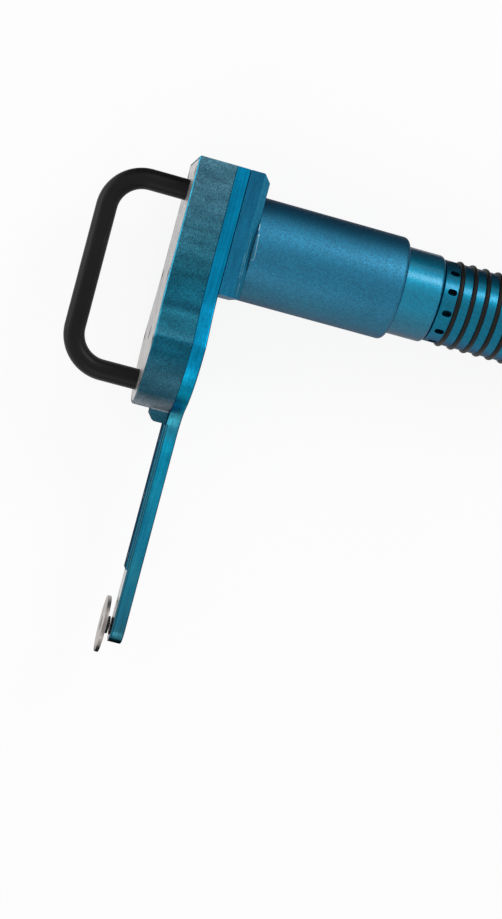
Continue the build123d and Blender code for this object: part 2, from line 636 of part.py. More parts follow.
def build_throttle_valve():
    """Rotary valve plug with one port, turned away from the port of its seat when shut."""
    plug = rod(STEM_BORE - RUN, VALVE_FRONT, VALVE_BACK)
    plug -= rod(VALVE_PORT_RADIUS, VALVE_FRONT, VALVE_BACK, *around(VALVE_PORT_ORBIT, -THROTTLE_TWIST))
    return plug - throttle_pin_rod(THROTTLE_PIN_RADIUS + FIT, STEM_BORE * 0.6, STEM_BORE + 1)


def build_inlet_cap():
    """Inlet cap: a round cap on the stem, a hexagon and the threaded air port."""
    body_back = INLET_FRONT + INLET_LENGTH
    cap = rod(INLET_RADIUS, INLET_FRONT, body_back)
    cap = chamfer(cap.faces().sort_by(Axis.X)[-1].edges(), 3 * AIR)
    cap += prism(RegularPolygon(INLET_HEX / 2, 6, major_radius=False), body_back, INLET_BACK)
    cap -= rod(STEM_RADIUS + FIT, INLET_FRONT, INLET_FRONT + INLET_SOCKET)
    return cap - rod(INLET_THREAD_RADIUS, INLET_FRONT + INLET_SOCKET, INLET_BACK)


def build_inlet_strainer():
    """Perforated strainer cup at the end of the stem."""
    back = STEM_BACK
    front = back - STRAINER_LENGTH
    cup = rod(STEM_BORE - FIT, front, back) - rod(STEM_BORE * 0.85, front + STRAINER_LENGTH * 0.3, back)
    for i in range(STRAINER_HOLES):
        cup -= rod(STEM_BORE * 0.15, front, back, *around(STEM_BORE / 2, 360 * i / STRAINER_HOLES))
    return cup


def build_rotor():
    """Rotor of the vane motor: a slotted body on a shaft that carries the sun gear in front."""
    shaft_front = PLANET_FRONT + AIR
    shaft_back = SPIGOT_FRONT - AIR
    rotor = rod(ROTOR_RADIUS, ROTOR_FRONT, ROTOR_BACK) + rod(JOURNAL_RADIUS, shaft_front, shaft_back)
    slot = block(ROTOR_FRONT, ROTOR_BACK, ROTOR_RADIUS - VANE_DEPTH, ROTOR_RADIUS + 1,
                 -VANE_THICKNESS / 2 - FIT, VANE_THICKNESS / 2 + FIT)
    for i in range(VANE_COUNT):
        rotor -= Rot(360 * i / VANE_COUNT, 0, 0) * slot
    return rotor


def build_rotor_vanes():
    """Vanes of the motor, drawn in as far as the liner's nearest side."""
    vane = block(ROTOR_FRONT, ROTOR_BACK, ROTOR_RADIUS - VANE_DEPTH + FIT, ROTOR_RADIUS + VANE_PROUD,
                 -VANE_THICKNESS / 2, VANE_THICKNESS / 2)
    return [Rot(360 * i / VANE_COUNT, 0, 0) * vane for i in range(VANE_COUNT)]


def build_end_plate(x0, x1, seat_side):
    """End plate of the vane motor with a bearing seat open on one side, -1 front or +1 rear."""
    plate = tube(BARREL_BORE - FIT, JOURNAL_RADIUS + AIR, x0, x1)
    if seat_side < 0:
        return plate - rod(ROTOR_BEARING_RADIUS + FIT, x0, x0 + ROTOR_BEARING_WIDTH)
    return plate - rod(ROTOR_BEARING_RADIUS + FIT, x1 - ROTOR_BEARING_WIDTH, x1)


def build_sun_gear():
    """Sun gear pressed on the front end of the rotor's shaft."""
    sketch = gear_sketch(SUN_TEETH, PLANET_MODULE, PLANET_BACKLASH / 2) - Circle(JOURNAL_RADIUS + FIT)
    return prism(sketch, PLANET_FRONT + AIR, PLANET_BACK - AIR)


def planet_gear(number):
    """Planet gear with a tooth in the ring's space and a space over the sun's tooth."""
    angle = 360 / PLANET_COUNT * number
    sketch = gear_sketch(PLANET_TEETH, PLANET_MODULE, PLANET_BACKLASH / 2, turn=angle)
    sketch -= Circle(PLANET_PIN_RADIUS + RUN)
    return prism(Pos(*around(PLANET_ORBIT, angle)) * sketch, PLANET_FRONT, PLANET_BACK)


def build_ring_gear():
    """Ring gear seated against the flange, clear of the carrier's plate in front."""
    space = gear_sketch(RING_TEETH, PLANET_MODULE, -PLANET_BACKLASH / 2, tip=1.25, root=1.0)
    return prism(Circle(BARREL_BORE - FIT) - space, FLANGE_BACK, RING_BACK)


def build_planet_carrier():
    """Planet carrier: plate with the planet pins, and the stepped output shaft to the pinion."""
    journal_front = PLATE_BACK - HEAD_BEARING_WIDTH + AIR
    carrier = turned([
        (CARRIER_BACK, 0), (CARRIER_BACK, CARRIER_RADIUS), (CARRIER_FRONT, CARRIER_RADIUS),
        (CARRIER_FRONT, OUTPUT_SHAFT_RADIUS - RUN), (GEAR_BACK, OUTPUT_SHAFT_RADIUS - RUN),
        (GEAR_BACK, GEAR_SEAT_RADIUS), (GEAR_FRONT - AIR, GEAR_SEAT_RADIUS),
        (GEAR_FRONT - AIR, JOURNAL_RADIUS - RUN), (journal_front, JOURNAL_RADIUS - RUN), (journal_front, 0)])
    for i in range(PLANET_COUNT):
        place = around(PLANET_ORBIT, 360 * i / PLANET_COUNT)
        carrier += rod(PLANET_PIN_RADIUS, CARRIER_BACK, PLANET_BACK, *place)
    return carrier


def build_lobe_shaft():
    """Lobe shaft: front journal, gear seat, belt pulley seat and rear tail."""
    front = PLATE_BACK - HEAD_BEARING_WIDTH + AIR
    back = CHANNEL_BACK + BUSH_LENGTH - 2 * FIT
    return turned([
        (front, 0), (front, JOURNAL_RADIUS - RUN), (PLATE_BACK + AIR, JOURNAL_RADIUS - RUN),
        (PLATE_BACK + AIR, GEAR_SEAT_RADIUS), (PULLEY_FRONT, GEAR_SEAT_RADIUS), (PULLEY_FRONT, PULLEY_BORE),
        (PULLEY_BACK, PULLEY_BORE), (PULLEY_BACK, TAIL_RADIUS - RUN), (back, TAIL_RADIUS - RUN),
        (back, 0)], LOBE_Y)


def build_spindle():
    """Spindle: rear tail, pulley seat, front journal, neck and the ball that the disc tilts on."""
    front = ARM_FRONT - FRONT_BUSH_PROUD
    back = CHANNEL_BACK + BUSH_LENGTH - 2 * FIT
    spindle = turned([
        (back, 0), (back, TAIL_RADIUS - RUN), (PULLEY_BACK, TAIL_RADIUS - RUN), (PULLEY_BACK, PULLEY_BORE),
        (PULLEY_FRONT, PULLEY_BORE), (PULLEY_FRONT, SPINDLE_RADIUS - RUN), (front, SPINDLE_RADIUS - RUN),
        (front, NECK_RADIUS), (PIVOT_X, NECK_RADIUS), (PIVOT_X, 0)], SPINDLE_Y)
    spindle += Pos(PIVOT_X, SPINDLE_Y, 0) * Sphere(BALL_RADIUS)
    return spindle - Pos(PIVOT_X, SPINDLE_Y, 0) * Cylinder(CROSS_PIN_RADIUS + RUN, 4 * BALL_RADIUS)


def build_front_bush():
    """Flanged front bush of the spindle, in the belt cover."""
    return turned([
        (ARM_FRONT - FRONT_BUSH_PROUD, SPINDLE_RADIUS), (ARM_FRONT - FRONT_BUSH_PROUD, FRONT_BUSH_FLANGE),
        (ARM_FRONT, FRONT_BUSH_FLANGE), (ARM_FRONT, FRONT_BUSH_RADIUS), (COVER_BACK, FRONT_BUSH_RADIUS),
        (COVER_BACK, SPINDLE_RADIUS)], SPINDLE_Y)


def build_disc_hub():
    """Disc hub: a round boss with a ball socket and a slot for the cross pin, and a spigot in the disc."""
    hub = turned([
        (HUB_BACK, 0), (HUB_BACK, HUB_RADIUS), (DISC_BACK, HUB_RADIUS), (DISC_BACK, HUB_SPIGOT_RADIUS),
        (DISC_FACE, HUB_SPIGOT_RADIUS), (DISC_FACE, 0)], SPINDLE_Y)
    hub -= Pos(PIVOT_X, SPINDLE_Y, 0) * Sphere(BALL_RADIUS + RUN)
    swing = CROSS_PIN_LENGTH / 2 * sin(radians(TILT_LIMIT))
    half_long = CROSS_PIN_RADIUS + swing + FIT
    slot = Box(2 * half_long, 2 * (CROSS_PIN_RADIUS + RUN), CROSS_PIN_LENGTH + 4 * FIT)
    return hub - Pos(PIVOT_X, SPINDLE_Y, 0) * slot


def build_grinding_disc():
    """Grinding disc with a hole for the hub's spigot."""
    return tube(DISC_RADIUS, HUB_SPIGOT_RADIUS + FIT, DISC_FACE, DISC_BACK, SPINDLE_Y)


def build_silencer():
    """Felt ring on the stem, under the sleeve's hollow front."""
    back = CHAMBER_BACK - AIR
    return tube(CHAMBER_RADIUS - AIR, STEM_RADIUS + RUN, back - SILENCER_LENGTH, back)


def build_motor_liner():
    """Liner of the vane motor with its bore set off to one side."""
    ring = Circle(BARREL_BORE - FIT) - Pos(LINER_OFFSET, 0) * Circle(LINER_BORE)
    return prism(ring, LINER_FRONT, LINER_BACK)


def rotor_bearing(front):
    """Bearing of the rotor's shaft."""
    return ball_bearing(ROTOR_BEARING_RADIUS, JOURNAL_RADIUS + RUN, front, front + ROTOR_BEARING_WIDTH)


def build_output_bearing():
    """Bearing of the output shaft in the flange."""
    front = FLANGE_BACK - OUTPUT_BEARING_WIDTH
    return ball_bearing(OUTPUT_BEARING_RADIUS, OUTPUT_SHAFT_RADIUS, front, FLANGE_BACK)


def plate_bearing(y):
    """Bearing in the back of the front plate."""
    return ball_bearing(HEAD_BEARING_RADIUS, JOURNAL_RADIUS, PLATE_BACK - HEAD_BEARING_WIDTH, PLATE_BACK, y)


def build_idler_pin():
    """Fixed pin of the idler, held in the front plate and the arm plate."""
    front = PLATE_BACK - PLATE_THICKNESS / 2 + FIT
    return rod(IDLER_PIN_RADIUS, front, ARM_FRONT + ARM_THICKNESS / 2 - FIT, IDLER_Y)


def rear_bush(y):
    """Plain bush in the arm plate behind the belt channel."""
    return tube(BUSH_RADIUS, TAIL_RADIUS, CHANNEL_BACK, CHANNEL_BACK + BUSH_LENGTH, y)


def build_drive_belt():
    """Flat belt around both pulleys."""
    half = BELT_WIDTH / 2
    return prism(belt_loop(BELT_OUTER) - belt_loop(BELT_INNER), BELT_MID - half, BELT_MID + half)


IDLER_TURN = 180 / IDLER_TEETH
pieces = {
    "gear_case": build_gear_case(),
    "front_plate": build_front_plate(),
    "bearing_plug": build_bearing_plug(),
    "front_plate_screws": build_plate_screws(),
    "bow_handle": build_bow_handle(),
    "handle_screws": build_handle_screws(),
    "arm_frame": build_arm_frame(),
    "belt_cover": build_belt_cover(),
    "arm_cover": build_arm_cover(),
    "cover_screws": build_cover_screws(),
    "motor_flange": build_motor_flange(),
    "flange_screws": build_flange_screws(),
    "barrel_screws": build_barrel_screws(),
    "motor_barrel": build_motor_barrel(),
    "rear_housing": build_rear_housing(),
    "throttle_sleeve": build_throttle_sleeve(),
    "grip_o_rings": [grip_ring(x) for x in RING_PLACES],
    "throttle_pin": throttle_pin_rod(THROTTLE_PIN_RADIUS, STEM_BORE * 0.6 + FIT, SLEEVE_RADIUS - 2 * AIR),
    "throttle_valve": build_throttle_valve(),
    "inlet_cap": build_inlet_cap(),
    "inlet_strainer": build_inlet_strainer(),
    "exhaust_silencer": build_silencer(),
    "rotor": build_rotor(),
    "rotor_vanes": build_rotor_vanes(),
    "motor_liner": build_motor_liner(),
    "front_end_plate": build_end_plate(RING_BACK, LINER_FRONT, -1),
    "rear_end_plate": build_end_plate(LINER_BACK, SPIGOT_FRONT, 1),
    "rotor_front_bearing": rotor_bearing(RING_BACK),
    "rotor_rear_bearing": rotor_bearing(SPIGOT_FRONT - ROTOR_BEARING_WIDTH),
    "sun_gear": build_sun_gear(),
    "planet_gear_1": planet_gear(0),
    "planet_gear_2": planet_gear(1),
    "planet_gear_3": planet_gear(2),
    "ring_gear": build_ring_gear(),
    "planet_carrier": build_planet_carrier(),
    "output_bearing": build_output_bearing(),
    "motor_pinion": head_gear(PINION_TEETH, GEAR_SEAT_RADIUS + FIT, 0.0),
    "pinion_front_bearing": plate_bearing(0.0),
    "idler_gear": head_gear(IDLER_TEETH, IDLER_PIN_RADIUS + RUN, IDLER_Y, IDLER_TURN),
    "idler_pin": build_idler_pin(),
    "lobe_gear": head_gear(LOBE_TEETH, GEAR_SEAT_RADIUS + FIT, LOBE_Y),
    "lobe_shaft": build_lobe_shaft(),
    "lobe_front_bearing": plate_bearing(LOBE_Y),
    "lobe_rear_bush": rear_bush(LOBE_Y),
    "belt_pulley": flanged_pulley(LOBE_Y),
    "drive_belt": build_drive_belt(),
    "spindle_pulley": flanged_pulley(SPINDLE_Y),
    "spindle": build_spindle(),
    "spindle_rear_bush": rear_bush(SPINDLE_Y),
    "spindle_front_bush": build_front_bush(),
    "drive_pin": Pos(PIVOT_X, SPINDLE_Y, 0) * Cylinder(CROSS_PIN_RADIUS, CROSS_PIN_LENGTH),
    "disc_hub": build_disc_hub(),
    "grinding_disc": build_grinding_disc(),
}

os.makedirs("parts", exist_ok=True)
for name, piece in pieces.items():
    solids = piece if isinstance(piece, list) else [piece]
    group = Compound(children=[solid for part in solids for solid in part.solids()])
    export_step(group if len(group.solids()) > 1 else group.solids()[0], f"parts/{name}.step")
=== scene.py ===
import json
import logging
from dataclasses import dataclass, field
from enum import Enum
from math import atan2, pi, radians
from typing import Any, Callable, Iterable

import bmesh
import bpy
from mathutils import Matrix, Vector


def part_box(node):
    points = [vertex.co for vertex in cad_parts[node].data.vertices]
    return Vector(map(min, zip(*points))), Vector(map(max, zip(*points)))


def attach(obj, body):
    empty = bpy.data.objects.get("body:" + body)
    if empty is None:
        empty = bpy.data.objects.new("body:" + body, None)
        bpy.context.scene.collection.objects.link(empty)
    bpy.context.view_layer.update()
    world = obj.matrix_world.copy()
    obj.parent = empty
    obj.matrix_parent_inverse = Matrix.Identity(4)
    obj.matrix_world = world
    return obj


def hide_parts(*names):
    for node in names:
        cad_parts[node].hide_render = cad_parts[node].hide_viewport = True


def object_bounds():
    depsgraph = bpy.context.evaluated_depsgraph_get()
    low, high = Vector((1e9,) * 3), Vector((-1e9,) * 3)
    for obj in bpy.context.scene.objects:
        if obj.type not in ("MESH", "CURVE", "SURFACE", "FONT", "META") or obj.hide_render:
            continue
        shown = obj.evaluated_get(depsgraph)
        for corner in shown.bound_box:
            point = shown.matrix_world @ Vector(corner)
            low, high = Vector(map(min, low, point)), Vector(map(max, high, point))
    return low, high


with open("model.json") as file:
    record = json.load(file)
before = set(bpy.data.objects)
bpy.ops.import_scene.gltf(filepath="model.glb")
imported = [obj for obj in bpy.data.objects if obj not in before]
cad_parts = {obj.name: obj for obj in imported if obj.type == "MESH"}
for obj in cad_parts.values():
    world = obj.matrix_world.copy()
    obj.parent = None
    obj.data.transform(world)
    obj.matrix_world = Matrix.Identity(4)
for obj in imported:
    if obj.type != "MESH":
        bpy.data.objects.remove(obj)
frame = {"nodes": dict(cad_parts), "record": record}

# Looks of a hand-held valve grinding machine that lies on its side.
# X is the motor axis and points to the air inlet, the arm points to -Y, and +Z is up. Lengths are in metres.

MM = 0.001
PHOTO_SIZE = (502, 919)
CAD_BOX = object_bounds()
WHITE = "#FFFFFF"
# Points of a CAD mesh nearer than this are one, and faces that bend less than this are one
MERGE_MM = 0.001
FLAT_DEGREES = 0.3
# Edges that bend more than this are sharp, and their rounding has this many steps
SHARP_DEGREES = 28.0
ROUNDING_STEPS = 2
# Nearly all values of a noise lie between these two
NOISE_SPAN = (0.3, 0.7)
# A wave texture at a scale of one turns this many radians on each unit of length
WAVE_RADIANS = 20
# Sockets of a Mix node for colours: the two colours and the result
MIX_FROM = 6
MIX_TO = 7
MIX_OUT = 2
log = logging.getLogger("machine")


def srgb(code: str) -> tuple[float, float, float, float]:
    """Turn an sRGB hex colour into linear light.

    Args:
        code: Six hex digits after a hash.

    Returns:
        Linear red, green, blue and an alpha of one.
    """
    parts = [int(code[i:i + 2], 16) / 255 for i in (1, 3, 5)]
    linear = [c / 12.92 if c <= 0.04045 else ((c + 0.055) / 1.055) ** 2.4 for c in parts]
    return (*linear, 1.0)


def add_node(tree: bpy.types.NodeTree, kind: str, inputs: dict[Any, Any] | None = None,
             **settings: Any) -> bpy.types.Node:
    """Add a node with its settings, and give each input a value or a link.

    Args:
        tree: Shader or geometry tree that takes the node.
        kind: Node type.
        inputs: Input names or indices, with a value or the output socket to link from.
        settings: Node properties.

    Returns:
        The new node.
    """
    node = tree.nodes.new(kind)
    for key, value in settings.items():
        setattr(node, key, value)
    for key, value in (inputs or {}).items():
        if isinstance(value, bpy.types.NodeSocket):
            tree.links.new(value, node.inputs[key])
        else:
            node.inputs[key].default_value = value
    return node


class Axis(Enum):
    """Direction of a surface's tool marks, as the pattern's shrink along X, Y and Z."""

    ALONG_Y = (1.0, 0.03, 1.0)
    NONE = (1.0, 1.0, 1.0)


@dataclass(frozen=True)
class Finish:
    """A finish with a name for the real material and for how its surface was made.

    The roughness goes from the first to the second share of wear_gloss while the wear goes through wear_span.
    """

    name: str
    colour: str
    roughness: float
    wear_span: tuple[float, float] = (0.6, 1.4)
    wear_gloss: tuple[float, float] = (1.15, 0.85)
    relief_mm: float = 0.02

    def begin(self) -> tuple[bpy.types.Material, bpy.types.NodeTree, bpy.types.Node, bpy.types.NodeSocket]:
        """Start the material.

        Returns:
            The material, its tree, its shader node and the object coordinates.
        """
        material = bpy.data.materials.new(self.name)
        material.use_nodes = True
        tree = material.node_tree
        place = add_node(tree, "ShaderNodeTexCoord").outputs["Object"]
        return material, tree, tree.nodes["Principled BSDF"], place

    def dress(self, tree: bpy.types.NodeTree, shader: bpy.types.Node, colour: bpy.types.NodeSocket,
              wear: bpy.types.NodeSocket, height: bpy.types.NodeSocket) -> None:
        """Give the shader its colour, a gloss that follows the wear, and its relief.

        Args:
            tree: Shader tree.
            shader: Its shader node.
            colour: Colour of the surface.
            wear: Value that the roughness follows.
            height: Value that the relief follows.
        """
        rough = add_node(tree, "ShaderNodeMapRange",
                         {"Value": wear, "From Min": self.wear_span[0], "From Max": self.wear_span[1],
                          "To Min": self.roughness * self.wear_gloss[0],
                          "To Max": self.roughness * self.wear_gloss[1]})
        bump = add_node(tree, "ShaderNodeBump", {"Height": height, "Distance": self.relief_mm * MM})
        tree.links.new(colour, shader.inputs["Base Color"])
        tree.links.new(rough.outputs[0], shader.inputs["Roughness"])
        tree.links.new(bump.outputs[0], shader.inputs["Normal"])

    def material(self) -> bpy.types.Material:
        """Build the node material."""
        raise NotImplementedError


@dataclass(frozen=True)
class Scuff:
    """Thin broken line on the upper side where the dye is rubbed off, between two places in X and Y."""

    start_mm: tuple[float, float]
    end_mm: tuple[float, float]
    width_mm: float = 0.4
    core_mm: float = 0.08
    taper_mm: float = 0.3
    run_mm: float = 4.0
    broken: tuple[float, float] = (0.36, 0.62)

    def mask(self, tree: bpy.types.NodeTree, place: bpy.types.NodeSocket) -> bpy.types.NodeSocket:
        """Add the nodes that draw the line.

        Args:
            tree: Shader tree.
            place: Object coordinates.

        Returns:
            A socket that is one on bare metal and zero elsewhere.
        """
        way = Vector(self.end_mm) - Vector(self.start_mm)
        half_mm = way.length / 2
        local = add_node(tree, "ShaderNodeMapping",
                         {"Vector": place, "Location": (*Vector(self.start_mm) * MM, 0.0),
                          "Rotation": (0.0, 0.0, atan2(way.y, way.x))}, vector_type="TEXTURE")
        split = add_node(tree, "ShaderNodeSeparateXYZ", {0: local.outputs[0]}).outputs
        across = add_node(tree, "ShaderNodeMath", {0: split["Y"]}, operation="ABSOLUTE")
        thin = add_node(tree, "ShaderNodeMapRange",
                        {"Value": across.outputs[0], "From Min": self.width_mm / 2 * MM,
                         "From Max": self.core_mm * MM})
        middle = add_node(tree, "ShaderNodeMath", {0: split["X"], 1: half_mm * MM}, operation="SUBTRACT")
        along = add_node(tree, "ShaderNodeMath", {0: middle.outputs[0]}, operation="ABSOLUTE")
        within = add_node(tree, "ShaderNodeMapRange",
                          {"Value": along.outputs[0], "From Min": half_mm * MM,
                           "From Max": (half_mm - self.taper_mm) * MM})
        above = add_node(tree, "ShaderNodeMapRange", {"Value": split["Z"], "From Max": MM})
        breaks = add_node(tree, "ShaderNodeTexNoise",
                          {"Vector": place, "Scale": 1 / (self.run_mm * MM), "Detail": 2.0})
        bare = add_node(tree, "ShaderNodeMapRange",
                        {"Value": breaks.outputs["Fac"], "From Min": self.broken[0],
                         "From Max": self.broken[1]})
        shown = bare.outputs[0]
        for limit in (thin, within, above):
            both = add_node(tree, "ShaderNodeMath", {0: shown, 1: limit.outputs[0]}, operation="MULTIPLY")
            shown = both.outputs[0]
        return shown


@dataclass(frozen=True)
class Anodised(Finish):
    """Metal under a dyed or tinted skin that colours its reflection, with grain, tool marks and cloudy dye.

    Each fade turns the colour into its own between two places in Y.
    """

    deep: str = "#0C4A60"
    cloud_mm: float = 26.0
    cloud_share: float = 0.45
    cloud_stretch: tuple[float, float, float] = (1.0, 1.0, 1.0)
    grain_mm: float = 0.55
    grain: float = 0.35
    marks: Axis = Axis.NONE
    marks_mm: float = 1.2
    mark_depth: float = 0.15
    coat: float = 0.5
    coat_roughness: float = 0.4
    grazing: str = "#3C4C58"
    metallic: float = 1.0
    fades: tuple[tuple[float, float, str], ...] = ()
    scuffs: tuple[Scuff, ...] = ()
    bare: str = "#B4D6E2"

    def material(self) -> bpy.types.Material:
        """Build the node material.

        Returns:
            The material.
        """
        material, tree, shader, place = self.begin()
        shader.inputs["Metallic"].default_value = self.metallic
        shader.inputs["Specular Tint"].default_value = srgb(self.grazing)
        shader.inputs["Coat Weight"].default_value = self.coat
        shader.inputs["Coat Roughness"].default_value = self.coat_roughness
        low, high = NOISE_SPAN
        drawn = add_node(tree, "ShaderNodeMapping", {"Vector": place, "Scale": self.cloud_stretch})
        cloud = add_node(tree, "ShaderNodeTexNoise",
                         {"Vector": drawn.outputs[0], "Scale": 1 / (self.cloud_mm * MM), "Detail": 3.0})
        depth = add_node(tree, "ShaderNodeMapRange",
                         {"Value": cloud.outputs["Fac"], "From Min": low, "From Max": high, "To Min": 0.0,
                          "To Max": self.cloud_share})
        along = add_node(tree, "ShaderNodeSeparateXYZ", {0: place}).outputs["Y"]
        tone = srgb(self.colour)
        for start, end, colour in self.fades:
            far = add_node(tree, "ShaderNodeMapRange",
                           {"Value": along, "From Min": start * MM, "From Max": end * MM})
            faded = add_node(tree, "ShaderNodeMix",
                             {"Factor": far.outputs[0], MIX_FROM: tone, MIX_TO: srgb(colour)},
                             data_type="RGBA")
            tone = faded.outputs[MIX_OUT]
        dyed = add_node(tree, "ShaderNodeMix",
                        {"Factor": depth.outputs[0], MIX_FROM: tone, MIX_TO: srgb(self.deep)},
                        data_type="RGBA")
        stretch = add_node(tree, "ShaderNodeMapping", {"Vector": place, "Scale": self.marks.value})
        speck = add_node(tree, "ShaderNodeTexNoise",
                         {"Vector": place, "Scale": 1 / (self.grain_mm * MM), "Detail": 2.0})
        line = add_node(tree, "ShaderNodeTexNoise",
                        {"Vector": stretch.outputs[0], "Scale": 1 / (self.marks_mm * MM), "Detail": 3.0})
        levels = [add_node(tree, "ShaderNodeMapRange",
                           {"Value": noise.outputs["Fac"], "From Min": low, "From Max": high,
                            "To Min": 1 - share, "To Max": 1 + share}).outputs[0]
                  for noise, share in ((speck, self.grain), (line, self.mark_depth))]
        both = add_node(tree, "ShaderNodeMath", dict(enumerate(levels)), operation="MULTIPLY").outputs[0]
        shade = add_node(tree, "ShaderNodeVectorMath", {0: dyed.outputs[MIX_OUT], "Scale": both},
                         operation="SCALE").outputs[0]
        for scuff in self.scuffs:
            worn = add_node(tree, "ShaderNodeMix",
                            {"Factor": scuff.mask(tree, place), MIX_FROM: shade, MIX_TO: srgb(self.bare)},
                            data_type="RGBA")
            shade = worn.outputs[MIX_OUT]
        self.dress(tree, shader, shade, both, both)
        return material


@dataclass(frozen=True)
class BareMetal(Finish):
    """Uncoated metal with rings or straight lines left by the tool that cut it."""

    wear_span: tuple[float, float] = (0.6, 1.2)
    wear_gloss: tuple[float, float] = (1.3, 0.85)
    relief_mm: float = 0.01
    centre_mm: tuple[float, float, float] = (0.0, 0.0, 0.0)
    pitch_mm: float = 0.8
    rings: bool = True
    contrast: float = 0.12
    grime: float = 0.25
    stain_mm: float = 7.0
    stain_span: tuple[float, float] = (0.4, 0.75)

    def material(self) -> bpy.types.Material:
        """Build the node material.

        Returns:
            The material.
        """
        material, tree, shader, place = self.begin()
        shader.inputs["Metallic"].default_value = 1.0
        shift = tuple(-c * MM for c in self.centre_mm)
        centred = add_node(tree, "ShaderNodeMapping", {"Vector": place, "Location": shift})
        lines = add_node(tree, "ShaderNodeTexWave",
                         {"Vector": centred.outputs[0], "Scale": 2 * pi / (WAVE_RADIANS * self.pitch_mm * MM),
                          "Distortion": 1.5, "Detail": 3.0, "Detail Scale": 2.0},
                         wave_type="RINGS" if self.rings else "BANDS", rings_direction="X",
                         bands_direction="Z").outputs["Fac"]
        stain = add_node(tree, "ShaderNodeTexNoise",
                         {"Vector": place, "Scale": 1 / (self.stain_mm * MM), "Detail": 4.0})
        level = add_node(tree, "ShaderNodeMapRange",
                         {"Value": lines, "To Min": 1 - self.contrast, "To Max": 1 + self.contrast})
        dull = add_node(tree, "ShaderNodeMapRange",
                        {"Value": stain.outputs["Fac"], "From Min": self.stain_span[0],
                         "From Max": self.stain_span[1], "To Min": 1.0, "To Max": 1 - self.grime})
        both = add_node(tree, "ShaderNodeMath", {0: level.outputs[0], 1: dull.outputs[0]},
                        operation="MULTIPLY").outputs[0]
        shade = add_node(tree, "ShaderNodeVectorMath", {0: srgb(self.colour)[:3], "Scale": both},
                         operation="SCALE")
        self.dress(tree, shader, shade.outputs[0], both, lines)
        return material


@dataclass(frozen=True)
class Coated(Finish):
    """Opaque coat, rubber, felt or composite: a dark or dull skin with a grain and rubbed patches."""

    wear_span: tuple[float, float] = NOISE_SPAN
    relief_mm: float = 0.03
    rubbed: str = "#2A2A2C"
    grain_mm: float = 0.6
    rub_mm: float = 12.0
    rub_span: tuple[float, float] = (0.45, 0.75)
    metallic: float = 0.0
    specular: float = 0.5

    def material(self) -> bpy.types.Material:
        """Build the node material.

        Returns:
            The material.
        """
        material, tree, shader, place = self.begin()
        shader.inputs["Metallic"].default_value = self.metallic
        shader.inputs["Specular IOR Level"].default_value = self.specular
        grain = add_node(tree, "ShaderNodeTexNoise",
                         {"Vector": place, "Scale": 1 / (self.grain_mm * MM), "Detail": 3.0})
        rub = add_node(tree, "ShaderNodeTexNoise",
                       {"Vector": place, "Scale": 1 / (self.rub_mm * MM), "Detail": 4.0}).outputs["Fac"]
        worn = add_node(tree, "ShaderNodeMapRange",
                        {"Value": rub, "From Min": self.rub_span[0], "From Max": self.rub_span[1]})
        tone = add_node(tree, "ShaderNodeMix",
                        {"Factor": worn.outputs[0], MIX_FROM: srgb(self.colour), MIX_TO: srgb(self.rubbed)},
                        data_type="RGBA")
        self.dress(tree, shader, tone.outputs[MIX_OUT], rub, grain.outputs["Fac"])
        return material


# Spindle's axis at the arm's tip, about which the disc's rings run
DISC_CENTRE_MM = (0.0, -189.2, 0.0)

# Blast grain, brushing and turning marks are about 0.1 mm on the real metal, too fine to show in the picture,
# so they are drawn as coarse as they need to show: a grain of 0.35 to 0.55 mm, and lines 0.5 to 1.2 mm apart.
# The grain of coats and rubber, about 0.2 mm, is drawn at 0.5 to 1 mm for the same reason.

# Gear case: blasted before the dye, so it is matte and speckled. Its colour changes in bands along Y: greyer
# at the top, then dark bands of painted shade at the waist, at the start of the flare and at the crease, and
# paler bands of painted reflection on the flare, below the crease and a pale grey one near the bottom
CASE = Anodised("anodised_aluminium_blasted_case", "#54899D", 0.52, deep="#063F52", cloud_mm=6.0,
                cloud_share=0.6, cloud_stretch=(0.3, 1.0, 0.3), grain_mm=0.35, grain=0.6, coat=0.12,
                grazing="#98A2A8",
                fades=((24.0, -18.0, "#24778F"), (-19.0, -25.0, "#146880"), (-31.2, -34.0, "#0A4E64"),
                       (-35.4, -38.4, "#24788F"), (-45.0, -47.6, "#2C758C"), (-49.7, -50.5, "#126680"),
                       (-58.0, -68.0, "#36697C"), (-77.0, -83.0, "#A8AEB4"), (-84.0, -84.6, "#2C687C")))
# Front edge of the case: the cutter left it smooth before the dye, so it is glossier, and its lighter cyan is
# a painted highlight that draws one thin cyan line down to the crease
CASE_RIM_HIGHLIGHT = Anodised("anodised_aluminium_painted_highlight_rim", "#2C8BA4", 0.36, deep="#1A6C88", cloud_mm=4.0,
                    cloud_share=0.8, grain=0.2, coat=0.15)
# Sides of the arm plate: milled and dyed without blasting, so they stay glossy, with streaks and a dull tip.
# The paler and brighter cyan bands across the lobe, from -60 to -98 mm in Y, are painted reflections
ARM = Anodised("anodised_aluminium_milled_arm", "#028CBA", 0.26, deep="#026A92", cloud_mm=9.0,
               cloud_share=0.55, grain=0.12, marks=Axis.ALONG_Y, marks_mm=1.1, mark_depth=0.2, coat=0.06,
               fades=((-60.0, -70.0, "#0894B4"), (-76.0, -84.0, "#3C9CAE"), (-90.0, -98.0, "#14A8CC"),
                      (-102.0, -190.0, "#30707F")))
# Flat face of the arm plate: milled along and dyed evenly
ARM_FACE = Anodised("anodised_aluminium_milled_face", "#0486B0", 0.3, deep="#026A92", cloud_mm=16.0,
                    grain=0.12, marks=Axis.ALONG_Y, marks_mm=1.1, mark_depth=0.16, coat=0.08)
# Seams and outer edges of the arm: a dark colour that is painted shade for the shadow in the joints, with oil
# in the seams
SEAM_OIL_AND_SHADE = Anodised("anodised_aluminium_oily_seam_painted_shade", "#0D4A66", 0.45, deep="#083144", cloud_mm=5.0, grain=0.2,
                coat=0.1)
# Flange: brushed along before the dye, which leaves a satin sheen with fine lines
FLANGE = Anodised("anodised_aluminium_brushed_flange", "#12688E", 0.36, deep="#0E5476", grain=0.2,
                  marks=Axis.ALONG_Y, marks_mm=0.5, mark_depth=0.18, coat=0.15, grazing="#B0B6BA",
                  fades=((30.0, -24.0, "#1A80A8"),))
